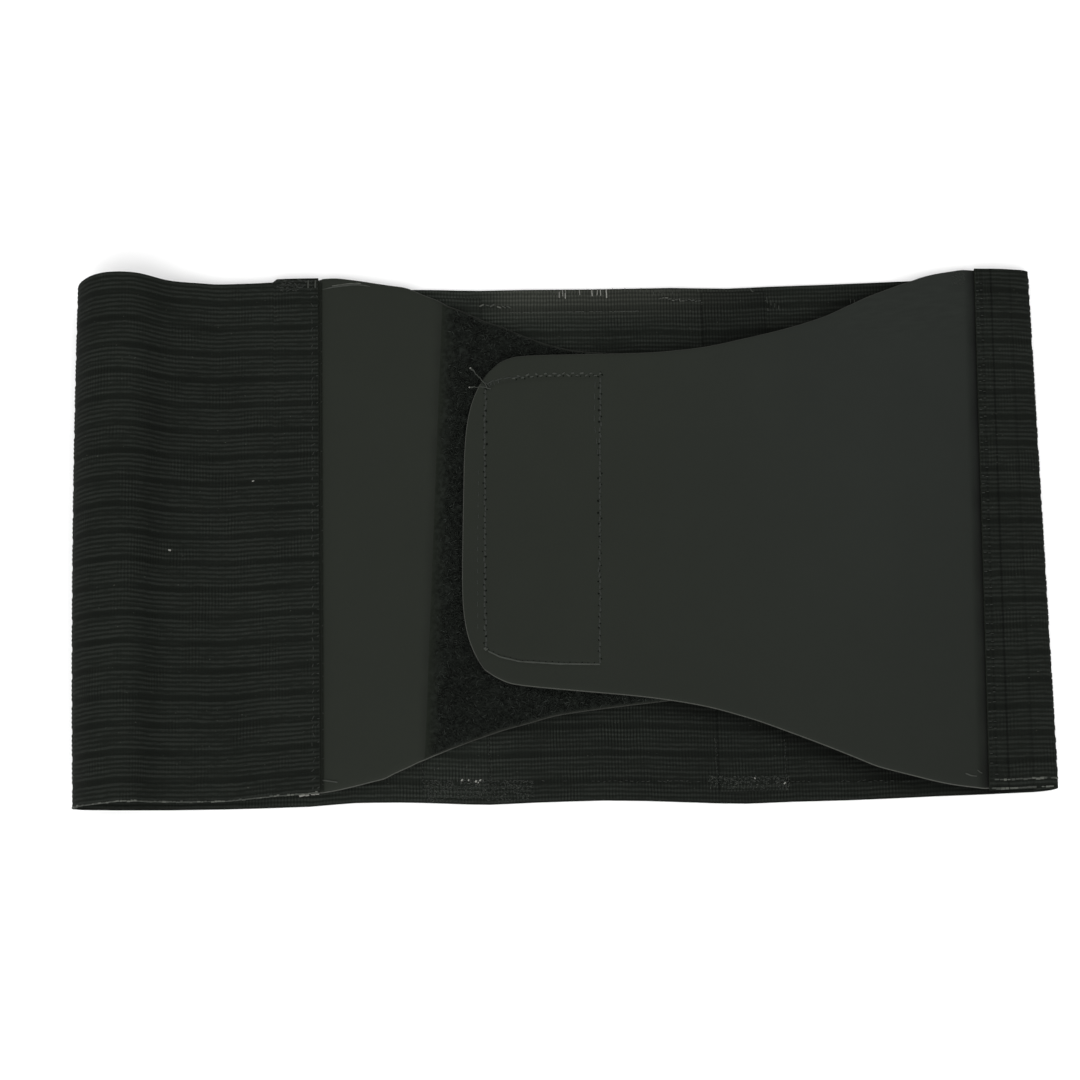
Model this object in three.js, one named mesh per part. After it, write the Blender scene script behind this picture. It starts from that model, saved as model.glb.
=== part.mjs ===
// A kidney belt lying closed and flattened on a table, seen from above.
// +X runs along the flattened belt, +Y up the belt's height, +Z up off the table.
// The origin is under the middle of the belt, on the table.
// Millimetres.

import * as THREE from 'three';
import { mergeVertices } from 'three/addons/utils/BufferGeometryUtils.js';

// ---- driving sizes ----

const ELASTIC_T = 1.6; // ribbed elastic, through its thickness
const PANEL_T = 1.6; // right front panel
const TAIL = 12; // how far each panel runs under the elastic at its seam
const MIDDLE = { x: 0.34, y: 1.3 }; // the middle of the outline, taken off every piece

const RIGHT_SEAM = { x: 162.4, y: 1.4, turn: -1.85 }; // where the right panel starts, and its turn in degrees
const TAB_BOW = 5; // how square the tab's end is

const CASING = { width: 25.6, lo: -98.4, hi: 97.2, z: 1.9, edge: 1.0, crown: 1.25 };
const LOOP = { z: 5.0, t: 1.0, inset: 2.2 };
const HOOK = { z: 6.3, t: 0.8 };

// ---- tables ----

// The elastic's outer skin, from the left front seam round the left fold, along the back,
// round the right crease and up to the right front seam.
// x, z: the skin's place; lo, hi: the band's two edges there; lean: how much x grows for each mm of y;
// sway: how far the section bends aside in the middle of its height.
const ELASTIC = [
  { x: -92.9, z: 5.6, lo: -95.4, hi: 105.6, lean: 0.0, sway: 0 },
  { x: -100.0, z: 5.6, lo: -95.9, hi: 105.7, lean: 0.0, sway: 0 },
  { x: -109.2, z: 5.6, lo: -96.5, hi: 105.6, lean: 0.0, sway: 0 },
  { x: -110.8, z: 5.6, lo: -96.6, hi: 104.3, lean: 0.0, sway: 0 },
  { x: -121.0, z: 5.6, lo: -97.4, hi: 104.0, lean: 0.0, sway: 0 },
  { x: -129.0, z: 5.7, lo: -98.0, hi: 103.9, lean: 0.0, sway: 0 },
  { x: -134.0, z: 6.4, lo: -98.0, hi: 103.8, lean: 0.0, sway: 0 },
  { x: -139.0, z: 8.2, lo: -98.0, hi: 103.8, lean: 0.0, sway: 0 },
  { x: -144.5, z: 9.9, lo: -98.0, hi: 103.8, lean: 0.0, sway: 0 },
  { x: -148.6, z: 11.3, lo: -97.9, hi: 103.9, lean: 0.0, sway: 0 },
  { x: -151.8, z: 13.4, lo: -97.8, hi: 104.0, lean: 0.0, sway: 0 },
  { x: -154.9, z: 16.6, lo: -97.7, hi: 104.1, lean: 0.0, sway: 0 },
  { x: -157.9, z: 20.4, lo: -97.5, hi: 104.1, lean: -0.001, sway: -0.1 },
  { x: -161.4, z: 23.2, lo: -97.4, hi: 104.1, lean: -0.002, sway: -0.25 },
  { x: -166.1, z: 24.9, lo: -97.6, hi: 104.0, lean: -0.0035, sway: -0.45 },
  { x: -171.1, z: 25.5, lo: -98.1, hi: 103.7, lean: -0.005, sway: -0.7 },
  { x: -175.95, z: 24.1, lo: -98.5, hi: 103.3, lean: -0.006, sway: -0.9 },
  { x: -180.35, z: 20.4, lo: -98.8, hi: 102.8, lean: -0.0068, sway: -1.0 },
  { x: -183.95, z: 15.4, lo: -99.2, hi: 102.2, lean: -0.0068, sway: -1.05 },
  { x: -185.55, z: 10.0, lo: -99.6, hi: 101.8, lean: -0.0068, sway: -1.05 },
  { x: -184.55, z: 5.0, lo: -99.8, hi: 101.5, lean: -0.0068, sway: -1.05 },
  { x: -181.2, z: 1.4, lo: -99.9, hi: 101.4, lean: -0.006, sway: -0.95 },
  { x: -176.3, z: 0.2, lo: -100.0, hi: 101.3, lean: -0.0045, sway: -0.75 },
  { x: -171.0, z: 0.0, lo: -100.2, hi: 101.3, lean: -0.003, sway: -0.45 },
  { x: -130.0, z: 0.0, lo: -100.8, hi: 101.3, lean: 0.0, sway: 0 },
  { x: -97.0, z: 0.0, lo: -100.5, hi: 101.3, lean: 0.0, sway: 0 },
  { x: -80.0, z: 0.0, lo: -99.5, hi: 101.3, lean: 0.0, sway: 0 },
  { x: -63.0, z: 0.0, lo: -99.7, hi: 101.3, lean: 0.0, sway: 0 },
  { x: -46.0, z: 0.0, lo: -100.5, hi: 100.9, lean: 0.0, sway: 0 },
  { x: -29.0, z: 0.0, lo: -101.3, hi: 100.2, lean: 0.0, sway: 0 },
  { x: -12.0, z: 0.0, lo: -100.9, hi: 100.2, lean: 0.0, sway: 0 },
  { x: 14.0, z: 0.0, lo: -100.7, hi: 99.8, lean: 0.0, sway: 0 },
  { x: 46.0, z: 0.0, lo: -102.1, hi: 99.7, lean: 0.0, sway: 0 },
  { x: 68.0, z: 0.0, lo: -103.1, hi: 98.9, lean: 0.0, sway: 0 },
  { x: 85.0, z: 0.0, lo: -102.8, hi: 99.3, lean: 0.0, sway: 0 },
  { x: 107.0, z: 0.0, lo: -102.7, hi: 99.6, lean: 0.0, sway: 0 },
  { x: 139.0, z: 0.0, lo: -102.0, hi: 100.3, lean: 0.004, sway: 0 },
  { x: 178.0, z: 0.0, lo: -101.2, hi: 101.4, lean: 0.008, sway: 0 },
  { x: 183.2, z: 0.3, lo: -100.8, hi: 101.8, lean: 0.008, sway: 0 },
  { x: 185.9, z: 1.5, lo: -100.4, hi: 102.1, lean: 0.0075, sway: 0 },
  { x: 186.6, z: 3.1, lo: -100.1, hi: 102.3, lean: 0.0075, sway: 0 },
  { x: 185.6, z: 4.8, lo: -100.0, hi: 102.4, lean: 0.0085, sway: 0 },
  { x: 182.6, z: 5.8, lo: -100.0, hi: 102.6, lean: 0.011, sway: 0 },
  { x: 177.2, z: 5.9, lo: -100.0, hi: 103.0, lean: 0.018, sway: 0 },
  { x: 170.0, z: 5.8, lo: -100.2, hi: 103.4, lean: 0.026, sway: 0 },
  { x: 162.4, z: 5.8, lo: -100.2, hi: 103.6, lean: 0.032, sway: 0 },
];

// The left front panel, from under the elastic to its rounded end under the tab.
// x: the section's place; lean: as above; lo, hi: the panel's edges; z: its top; t: its thickness;
// bow: how far the section bulges towards the end.
const LEFT_PANEL = [
  { x: -106.5, lean: 0.0, lo: -95.9, hi: 105.3, z: 3.7, t: 1.7, bow: 0 },
  { x: -92.4, lean: 0.0, lo: -95.6, hi: 105.4, z: 3.7, t: 1.7, bow: 0 },
  { x: -91.2, lean: 0.0, lo: -95.5, hi: 105.5, z: 4.9, t: 2.3, bow: 0 },
  { x: -87.0, lean: 0.0, lo: -94.9, hi: 105.5, z: 5.6, t: 2.5, bow: 0 },
  { x: -80.0, lean: 0.005, lo: -93.6, hi: 104.6, z: 5.8, t: 2.5, bow: 0 },
  { x: -72.0, lean: 0.015, lo: -92.0, hi: 103.0, z: 6.0, t: 2.5, bow: 0 },
  { x: -67.0, lean: 0.022, lo: -91.0, hi: 102.0, z: 6.0, t: 2.5, bow: 0 },
  { x: -62.0, lean: 0.03, lo: -89.0, hi: 101.0, z: 6.0, t: 2.4, bow: 0 },
  { x: -54.5, lean: 0.045, lo: -86.3, hi: 97.1, z: 6.0, t: 2.4, bow: 0 },
  { x: -51.0, lean: 0.051, lo: -84.9, hi: 95.5, z: 5.8, t: 2.2, bow: 0 },
  { x: -48.6, lean: 0.051, lo: -84.0, hi: 94.3, z: 5.3, t: 1.7, bow: 0 },
  { x: -46.8, lean: 0.051, lo: -83.2, hi: 93.4, z: 4.7, t: 1.2, bow: 0 },
  { x: -43.0, lean: 0.05, lo: -81.7, hi: 92.0, z: 4.6, t: 1.1, bow: 0 },
  { x: -33.0, lean: 0.03, lo: -77.5, hi: 88.2, z: 4.6, t: 1.1, bow: 0 },
  { x: -28.0, lean: 0.02, lo: -75.6, hi: 86.3, z: 4.6, t: 1.1, bow: 0 },
  { x: -23.0, lean: 0.01, lo: -73.8, hi: 85.0, z: 4.6, t: 1.1, bow: 0 },
  { x: -13.0, lean: 0.0, lo: -71.1, hi: 80.8, z: 4.6, t: 1.1, bow: 0 },
  { x: -3.0, lean: 0.0, lo: -68.6, hi: 76.9, z: 4.6, t: 1.1, bow: 0 },
  { x: 9.0, lean: 0.0, lo: -67.0, hi: 74.0, z: 4.6, t: 1.1, bow: 0 },
  { x: 27.0, lean: 0.0, lo: -65.1, hi: 72.6, z: 4.6, t: 1.1, bow: 0 },
  { x: 52.0, lean: 0.0, lo: -63.0, hi: 71.4, z: 4.6, t: 1.1, bow: 0 },
  { x: 98.0, lean: 0.0, lo: -61.6, hi: 69.8, z: 4.6, t: 1.1, bow: 0 },
  { x: 109.5, lean: 0.0, lo: -59.4, hi: 67.4, z: 4.6, t: 1.1, bow: 2.5 },
  { x: 115.5, lean: 0.0, lo: -56.0, hi: 64.0, z: 4.6, t: 1.1, bow: 6.5 },
  { x: 118.5, lean: 0.0, lo: -52.6, hi: 60.6, z: 4.6, t: 1.1, bow: 8.6 },
];

// The right front panel, measured from its seam towards the tab's end.
// u: distance from the seam; lo, hi: the panel's edges; z: its top; bow: the bulge towards the end.
const RIGHT_PANEL = [
  { u: -TAIL, lo: -100.0, hi: 100.8, z: 3.8, bow: 0 },
  { u: 1.2, lo: -101.1, hi: 102.2, z: 3.8, bow: 0 },
  { u: 4.5, lo: -100.8, hi: 102.0, z: 4.7, bow: 0 },
  { u: 9.0, lo: -100.35, hi: 101.3, z: 5.0, bow: 0 },
  { u: 14.0, lo: -99.7, hi: 100.4, z: 5.3, bow: 0 },
  { u: 20.0, lo: -98.6, hi: 98.8, z: 5.8, bow: 0 },
  { u: 26.0, lo: -97.25, hi: 96.5, z: 6.5, bow: 0 },
  { u: 31.0, lo: -96.1, hi: 94.6, z: 7.2, bow: 0 },
  { u: 37.0, lo: -94.7, hi: 92.1, z: 7.8, bow: 0 },
  { u: 42.0, lo: -93.4, hi: 90.1, z: 8.0, bow: 0 },
  { u: 50.0, lo: -90.3, hi: 86.3, z: 8.0, bow: 0 },
  { u: 60.0, lo: -86.4, hi: 81.6, z: 8.0, bow: 0 },
  { u: 75.0, lo: -80.9, hi: 76.6, z: 8.0, bow: 0 },
  { u: 90.0, lo: -75.8, hi: 72.75, z: 8.0, bow: 0 },
  { u: 109.0, lo: -71.0, hi: 68.6, z: 8.0, bow: 0 },
  { u: 128.0, lo: -68.3, hi: 66.5, z: 8.1, bow: 0 },
  { u: 140.0, lo: -67.2, hi: 65.8, z: 8.5, bow: 0 },
  { u: 147.0, lo: -66.7, hi: 65.5, z: 9.0, bow: 0 },
  { u: 160.0, lo: -65.7, hi: 65.1, z: 9.1, bow: 0 },
  { u: 171.0, lo: -64.8, hi: 64.7, z: 9.1, bow: 0.6 },
  { u: 180.0, lo: -63.7, hi: 64.0, z: 9.1, bow: 2.8 },
  { u: 186.0, lo: -61.4, hi: 61.9, z: 9.0, bow: 6.2 },
  { u: 190.6, lo: -58.5, hi: 58.0, z: 8.9, bow: 9.3 },
];

// The stay casings on the back's inner side: x, the middle of each; name.
const CASINGS = [
  { name: 'stay_casing_left', x: -41.8 },
  { name: 'stay_casing_right', x: 70.8 },
];

// ---- reading the tables ----

// The slopes of a curve through (s, y) that never overshoots its rows.
function slopes(s, y) {
  const n = s.length;
  const d = [];
  for (let i = 0; i < n - 1; i++) d.push((y[i + 1] - y[i]) / (s[i + 1] - s[i]));
  const m = [d[0]];
  for (let i = 1; i < n - 1; i++) {
    if (d[i - 1] * d[i] <= 0) m.push(0);
    else {
      const a = s[i] - s[i - 1];
      const b = s[i + 1] - s[i];
      m.push((3 * (a + b)) / ((2 * b + a) / d[i - 1] + (b + 2 * a) / d[i]));
    }
  }
  m.push(d[n - 2]);
  return m;
}

// A reader for a table: at(q) gives every column at row number q, whole or between two rows.
function reader(rows, run) {
  const s = [0];
  for (let i = 1; i < rows.length; i++) {
    s.push(s[i - 1] + Math.hypot(...run.map((c) => rows[i][c] - rows[i - 1][c])));
  }
  const columns = Object.keys(rows[0]);
  const curves = {};
  for (const c of columns) {
    const y = rows.map((r) => r[c]);
    curves[c] = { y, m: slopes(s, y) };
  }
  const last = rows.length - 1;
  return {
    last,
    at(q) {
      const i = Math.min(last - 1, Math.max(0, Math.floor(q)));
      const f = q - i;
      const h = s[i + 1] - s[i];
      const out = {};
      for (const c of columns) {
        const { y, m } = curves[c];
        out[c] =
          (2 * f ** 3 - 3 * f ** 2 + 1) * y[i] +
          (f ** 3 - 2 * f ** 2 + f) * h * m[i] +
          (3 * f ** 2 - 2 * f ** 3) * y[i + 1] +
          (f ** 3 - f ** 2) * h * m[i + 1];
      }
      return out;
    },
  };
}

// ---- building ----

// A closed sheet: a flat box whose corners and steps are carried to point(u, v, w), each 0 to 1.
function closedSheet(point, stepsU, stepsV) {
  const box = new THREE.BoxGeometry(1, 1, 1, stepsU, stepsV, 1);
  box.deleteAttribute('normal');
  box.deleteAttribute('uv');
  const geometry = mergeVertices(box, 1e-5);
  const place = geometry.getAttribute('position');
  const p = new THREE.Vector3();
  for (let i = 0; i < place.count; i++) {
    p.copy(point(place.getX(i) + 0.5, place.getY(i) + 0.5, place.getZ(i) + 0.5));
    place.setXYZ(i, p.x - MIDDLE.x, p.y - MIDDLE.y, p.z);
  }
  geometry.computeVertexNormals();
  return geometry;
}

function piece(name, geometry, colour, roughness) {
  const mesh = new THREE.Mesh(geometry, new THREE.MeshStandardMaterial({ color: colour, roughness, metalness: 0 }));
  mesh.name = name;
  return mesh;
}

// How far a section bulges at v: nothing at its two edges, all of it in the middle.
const bulge = (v) => 1 - Math.abs(2 * v - 1) ** TAB_BOW;

// The ribbed elastic: one wall from seam to seam.
function elasticBand() {
  const table = reader(ELASTIC, ['x', 'z']);
  const point = (u, v, w) => {
    const q = u * table.last;
    const r = table.at(q);
    const a = table.at(Math.max(0, q - 0.02));
    const b = table.at(Math.min(table.last, q + 0.02));
    const along = new THREE.Vector2(b.x - a.x, b.z - a.z).normalize();
    const inward = new THREE.Vector2(-along.y, along.x); // to the left of the way round: towards the hollow
    const y = THREE.MathUtils.lerp(r.lo, r.hi, v);
    return new THREE.Vector3(
      r.x + r.lean * y + r.sway * (1 - (2 * v - 1) ** 2) + inward.x * ELASTIC_T * w,
      y,
      r.z + inward.y * ELASTIC_T * w,
    );
  };
  return closedSheet(point, table.last * 2, 4);
}

function leftPanel() {
  const table = reader(LEFT_PANEL, ['x']);
  const point = (u, v, w) => {
    const r = table.at(u * table.last);
    const y = THREE.MathUtils.lerp(r.lo, r.hi, v);
    return new THREE.Vector3(r.x + r.lean * y + r.bow * bulge(v), y, r.z - r.t * (1 - w));
  };
  return closedSheet(point, table.last * 2, 12);
}

// A place on the right panel, from the distance to its seam and the height on its own axis.
function rightPlace(u, y, z) {
  return new THREE.Vector3(-u, y, z)
    .applyAxisAngle(new THREE.Vector3(0, 0, 1), THREE.MathUtils.degToRad(RIGHT_SEAM.turn))
    .add(new THREE.Vector3(RIGHT_SEAM.x, RIGHT_SEAM.y, 0));
}

function rightPanel() {
  const table = reader(RIGHT_PANEL, ['u']);
  const point = (u, v, w) => {
    const r = table.at((1 - u) * table.last);
    const y = THREE.MathUtils.lerp(r.lo, r.hi, v);
    return rightPlace(r.u + r.bow * bulge(v), y, r.z - PANEL_T * (1 - w));
  };
  return closedSheet(point, table.last * 2, 12);
}

// The loop pile on the left panel, from the smooth part to just short of the panel's end.
function loopPatch() {
  const table = reader(LEFT_PANEL, ['x']);
  const first = LEFT_PANEL.findIndex((r) => r.x > -46.9);
  const point = (u, v, w) => {
    const r = table.at(first + 0.35 + u * (table.last - first - 0.35));
    const y = THREE.MathUtils.lerp(r.lo + LOOP.inset * 0.4, r.hi - LOOP.inset * 0.4, v);
    const x = r.x + r.lean * y + r.bow * bulge(v) - LOOP.inset * 0.6 * u;
    return new THREE.Vector3(x, y, LOOP.z + LOOP.t * w);
  };
  return closedSheet(point, (table.last - first) * 2, 12);
}

// The hook patch under the tab, inside its stitched rectangle.
function hookPatch() {
  const table = reader(RIGHT_PANEL, ['u']);
  const point = (u, v, w) => {
    const reach = THREE.MathUtils.lerp(191, 149, u);
    const corner = THREE.MathUtils.smoothstep(reach, 180, 191);
    const y = THREE.MathUtils.lerp(-54.6 + 4.4 * corner, 55.2 - 4.4 * corner, v);
    return rightPlace(reach, y, HOOK.z + HOOK.t * w);
  };
  return closedSheet(point, table.last, 6);
}

// A casing for a flat stay: a long strip, thicker along its middle.
function stayCasing(middle) {
  const point = (u, v, w) => {
    const across = 2 * u - 1;
    const crown = CASING.edge + (CASING.crown - CASING.edge) * Math.max(0, 1 - across ** 4);
    return new THREE.Vector3(
      middle + (across * CASING.width) / 2,
      THREE.MathUtils.lerp(CASING.lo, CASING.hi, v),
      CASING.z + crown * w,
    );
  };
  return closedSheet(point, 8, 2);
}

const belt = new THREE.Group();
belt.add(piece('elastic_band', elasticBand(), 0x1c1f1c, 0.92));
for (const c of CASINGS) belt.add(piece(c.name, stayCasing(c.x), 0x1a1d1a, 0.92));
belt.add(piece('left_panel', leftPanel(), 0x2c2f2a, 0.8));
belt.add(piece('loop_patch', loopPatch(), 0x161916, 0.96));
belt.add(piece('hook_patch', hookPatch(), 0x161816, 0.7));
belt.add(piece('right_panel', rightPanel(), 0x2d302b, 0.78));

export default belt;
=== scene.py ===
import math

import bpy
import numpy as np
from mathutils import Matrix, Vector
from mathutils.bvhtree import BVHTree


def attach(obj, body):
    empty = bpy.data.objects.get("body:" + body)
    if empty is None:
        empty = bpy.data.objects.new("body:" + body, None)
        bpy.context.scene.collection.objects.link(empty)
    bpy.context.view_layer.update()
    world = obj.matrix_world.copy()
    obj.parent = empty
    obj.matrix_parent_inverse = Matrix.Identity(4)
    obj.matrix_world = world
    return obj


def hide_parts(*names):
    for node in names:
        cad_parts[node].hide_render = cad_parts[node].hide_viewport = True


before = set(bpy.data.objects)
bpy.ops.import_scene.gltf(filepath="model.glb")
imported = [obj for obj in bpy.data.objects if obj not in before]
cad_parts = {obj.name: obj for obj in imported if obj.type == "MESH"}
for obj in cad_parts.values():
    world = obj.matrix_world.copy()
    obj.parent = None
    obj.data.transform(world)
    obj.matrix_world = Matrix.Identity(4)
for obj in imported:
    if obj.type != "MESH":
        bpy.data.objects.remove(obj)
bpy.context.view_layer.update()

# A kidney belt lying closed and flattened. The tables are those of the CAD part, in millimetres
# from the same place; MIDDLE is what the part takes off every point.

MIDDLE = np.array([0.34, 1.3, 0.0])
RNG = np.random.default_rng(41)

# ---- driving sizes, mm ----

ELASTIC_T = 1.6
PANEL_T = 1.6
TAIL = 12.0
RIGHT_SEAM_X, RIGHT_SEAM_Y, RIGHT_TURN = 162.4, 1.4, math.radians(-1.85)
TAB_BOW = 5
CASING_WIDTH, CASING_LO, CASING_HI, CASING_Z = 25.6, -98.4, 97.2, 1.9
CASING_EDGE, CASING_CROWN = 1.0, 1.25
CASING_X = {"left": -41.8, "right": 70.8}
LOOP_Z, LOOP_T, LOOP_INSET = 5.0, 1.0, 2.2
HOOK_Z, HOOK_T = 6.3, 0.8

BAND = 10.235  # one woven band of the elastic, groove to groove
RIB = BAND / 6
FIRST_GROOVE = -92.1  # the lowest groove, on a band taken as 200 mm tall
RIB_DEPTH = 0.17
GROOVE_DEPTH = 0.10
WEFT = 1.22  # the crosswise threads, one to the next
STRIP_TIGHT, STRIP_HOLD = 1.020, 0.766  # how much closer the bands lie on the narrow strip, and from what height

# ---- tables ----

ELASTIC = ("x", "z", "lo", "hi", "lean", "sway"), [
    (-92.9, 5.6, -95.4, 105.6, 0.0, 0),
    (-100.0, 5.6, -95.9, 105.7, 0.0, 0),
    (-109.2, 5.6, -96.5, 105.6, 0.0, 0),
    (-110.8, 5.6, -96.6, 104.3, 0.0, 0),
    (-121.0, 5.6, -97.4, 104.0, 0.0, 0),
    (-129.0, 5.7, -98.0, 103.9, 0.0, 0),
    (-134.0, 6.4, -98.0, 103.8, 0.0, 0),
    (-139.0, 8.2, -98.0, 103.8, 0.0, 0),
    (-144.5, 9.9, -98.0, 103.8, 0.0, 0),
    (-148.6, 11.3, -97.9, 103.9, 0.0, 0),
    (-151.8, 13.4, -97.8, 104.0, 0.0, 0),
    (-154.9, 16.6, -97.7, 104.1, 0.0, 0),
    (-157.9, 20.4, -97.5, 104.1, -0.001, -0.1),
    (-161.4, 23.2, -97.4, 104.1, -0.002, -0.25),
    (-166.1, 24.9, -97.6, 104.0, -0.0035, -0.45),
    (-171.1, 25.5, -98.1, 103.7, -0.005, -0.7),
    (-175.95, 24.1, -98.5, 103.3, -0.006, -0.9),
    (-180.35, 20.4, -98.8, 102.8, -0.0068, -1.0),
    (-183.95, 15.4, -99.2, 102.2, -0.0068, -1.05),
    (-185.55, 10.0, -99.6, 101.8, -0.0068, -1.05),
    (-184.55, 5.0, -99.8, 101.5, -0.0068, -1.05),
    (-181.2, 1.4, -99.9, 101.4, -0.006, -0.95),
    (-176.3, 0.2, -100.0, 101.3, -0.0045, -0.75),
    (-171.0, 0.0, -100.2, 101.3, -0.003, -0.45),
    (-130.0, 0.0, -100.8, 101.3, 0.0, 0),
    (-97.0, 0.0, -100.5, 101.3, 0.0, 0),
    (-80.0, 0.0, -99.5, 101.3, 0.0, 0),
    (-63.0, 0.0, -99.7, 101.3, 0.0, 0),
    (-46.0, 0.0, -100.5, 100.9, 0.0, 0),
    (-29.0, 0.0, -101.3, 100.2, 0.0, 0),
    (-12.0, 0.0, -100.9, 100.2, 0.0, 0),
    (14.0, 0.0, -100.7, 99.8, 0.0, 0),
    (46.0, 0.0, -102.1, 99.7, 0.0, 0),
    (68.0, 0.0, -103.1, 98.9, 0.0, 0),
    (85.0, 0.0, -102.8, 99.3, 0.0, 0),
    (107.0, 0.0, -102.7, 99.6, 0.0, 0),
    (139.0, 0.0, -102.0, 100.3, 0.004, 0),
    (178.0, 0.0, -101.2, 101.4, 0.008, 0),
    (183.2, 0.3, -100.8, 101.8, 0.008, 0),
    (185.9, 1.5, -100.4, 102.1, 0.0075, 0),
    (186.6, 3.1, -100.1, 102.3, 0.0075, 0),
    (185.6, 4.8, -100.0, 102.4, 0.0085, 0),
    (182.6, 5.8, -100.0, 102.6, 0.011, 0),
    (177.2, 5.9, -100.0, 103.0, 0.018, 0),
    (170.0, 5.8, -100.2, 103.4, 0.026, 0),
    (162.4, 5.8, -100.2, 103.6, 0.032, 0),
]

LEFT_PANEL = ("x", "lean", "lo", "hi", "z", "t", "bow"), [
    (-106.5, 0.0, -95.9, 105.3, 3.7, 1.7, 0),
    (-92.4, 0.0, -95.6, 105.4, 3.7, 1.7, 0),
    (-91.2, 0.0, -95.5, 105.5, 4.9, 2.3, 0),
    (-87.0, 0.0, -94.9, 105.5, 5.6, 2.5, 0),
    (-80.0, 0.005, -93.6, 104.6, 5.8, 2.5, 0),
    (-72.0, 0.015, -92.0, 103.0, 6.0, 2.5, 0),
    (-67.0, 0.022, -91.0, 102.0, 6.0, 2.5, 0),
    (-62.0, 0.03, -89.0, 101.0, 6.0, 2.4, 0),
    (-54.5, 0.045, -86.3, 97.1, 6.0, 2.4, 0),
    (-51.0, 0.051, -84.9, 95.5, 5.8, 2.2, 0),
    (-48.6, 0.051, -84.0, 94.3, 5.3, 1.7, 0),
    (-46.8, 0.051, -83.2, 93.4, 4.7, 1.2, 0),
    (-43.0, 0.05, -81.7, 92.0, 4.6, 1.1, 0),
    (-33.0, 0.03, -77.5, 88.2, 4.6, 1.1, 0),
    (-28.0, 0.02, -75.6, 86.3, 4.6, 1.1, 0),
    (-23.0, 0.01, -73.8, 85.0, 4.6, 1.1, 0),
    (-13.0, 0.0, -71.1, 80.8, 4.6, 1.1, 0),
    (-3.0, 0.0, -68.6, 76.9, 4.6, 1.1, 0),
    (9.0, 0.0, -67.0, 74.0, 4.6, 1.1, 0),
    (27.0, 0.0, -65.1, 72.6, 4.6, 1.1, 0),
    (52.0, 0.0, -63.0, 71.4, 4.6, 1.1, 0),
    (98.0, 0.0, -61.6, 69.8, 4.6, 1.1, 0),
    (109.5, 0.0, -59.4, 67.4, 4.6, 1.1, 2.5),
    (115.5, 0.0, -56.0, 64.0, 4.6, 1.1, 6.5),
    (118.5, 0.0, -52.6, 60.6, 4.6, 1.1, 8.6),
]

RIGHT_PANEL = ("u", "lo", "hi", "z", "bow"), [
    (-TAIL, -100.0, 100.8, 3.8, 0),
    (1.2, -101.1, 102.2, 3.8, 0),
    (4.5, -100.8, 102.0, 4.7, 0),
    (9.0, -100.35, 101.3, 5.0, 0),
    (14.0, -99.7, 100.4, 5.3, 0),
    (20.0, -98.6, 98.8, 5.8, 0),
    (26.0, -97.25, 96.5, 6.5, 0),
    (31.0, -96.1, 94.6, 7.2, 0),
    (37.0, -94.7, 92.1, 7.8, 0),
    (42.0, -93.4, 90.1, 8.0, 0),
    (50.0, -90.3, 86.3, 8.0, 0),
    (60.0, -86.4, 81.6, 8.0, 0),
    (75.0, -80.9, 76.6, 8.0, 0),
    (90.0, -75.8, 72.75, 8.0, 0),
    (109.0, -71.0, 68.6, 8.0, 0),
    (128.0, -68.3, 66.5, 8.1, 0),
    (140.0, -67.2, 65.8, 8.5, 0),
    (147.0, -66.7, 65.5, 9.0, 0),
    (160.0, -65.7, 65.1, 9.1, 0),
    (171.0, -64.8, 64.7, 9.1, 0.6),
    (180.0, -63.7, 64.0, 9.1, 2.8),
    (186.0, -61.4, 61.9, 9.0, 6.2),
    (190.6, -58.5, 58.0, 8.9, 9.3),
]

# The tab's stitched rectangle, in the right panel's own frame: distance from the seam, height.
TAB_LINE = [
    (191.7, 51.7), (187.0, 53.6), (182.4, 54.6), (176.0, 55.3), (170.8, 55.7), (159.1, 56.2), (147.5, 56.3),
    (147.4, 26.8), (147.2, -16.1), (147.0, -55.8),
    (162.1, -55.6), (177.3, -54.6), (184.9, -52.8), (189.8, -50.9),
    (191.1, -12.6), (191.7, 26.4), (191.7, 51.7),
]

# ---- reading the tables ----


def slopes(s, y):
    """The slopes of a curve through (s, y) that never overshoots its rows."""
    d = np.diff(y) / np.diff(s)
    m = [d[0]]
    for i in range(1, len(s) - 1):
        if d[i - 1] * d[i] <= 0:
            m.append(0.0)
        else:
            a, b = s[i] - s[i - 1], s[i + 1] - s[i]
            m.append(3 * (a + b) / ((2 * b + a) / d[i - 1] + (b + 2 * a) / d[i]))
    m.append(d[-1])
    return np.array(m)


class Table:
    """Rows of named columns: at(q) gives every column at row number q, whole or between two rows."""

    def __init__(self, table, run):
        self.columns, rows = table
        self.rows = np.array(rows, float)
        steps = np.diff(self.rows[:, [self.columns.index(c) for c in run]], axis=0)
        self.s = np.concatenate([[0.0], np.cumsum(np.sqrt((steps**2).sum(1)))])
        self.last = len(rows) - 1
        self.m = {c: slopes(self.s, self.rows[:, k]) for k, c in enumerate(self.columns)}

    def at(self, q):
        q = np.asarray(q, float)
        i = np.clip(np.floor(q).astype(int), 0, self.last - 1)
        f = q - i
        h = self.s[i + 1] - self.s[i]
        out = {}
        for k, c in enumerate(self.columns):
            y, m = self.rows[:, k], self.m[c]
            out[c] = (
                (2 * f**3 - 3 * f**2 + 1) * y[i]
                + (f**3 - 2 * f**2 + f) * h * m[i]
                + (3 * f**2 - 2 * f**3) * y[i + 1]
                + (f**3 - f**2) * h * m[i + 1]
            )
        return out

    def row_at(self, column, value):
        """The row number where a rising or falling column reaches a value."""
        q = np.linspace(0, self.last, self.last * 40 + 1)
        c = self.at(q)[column]
        order = np.argsort(c)
        return np.interp(value, c[order], q[order])


elastic_table = Table(ELASTIC, ("x", "z"))
left_table = Table(LEFT_PANEL, ("x",))
right_table = Table(RIGHT_PANEL, ("u",))


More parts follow.
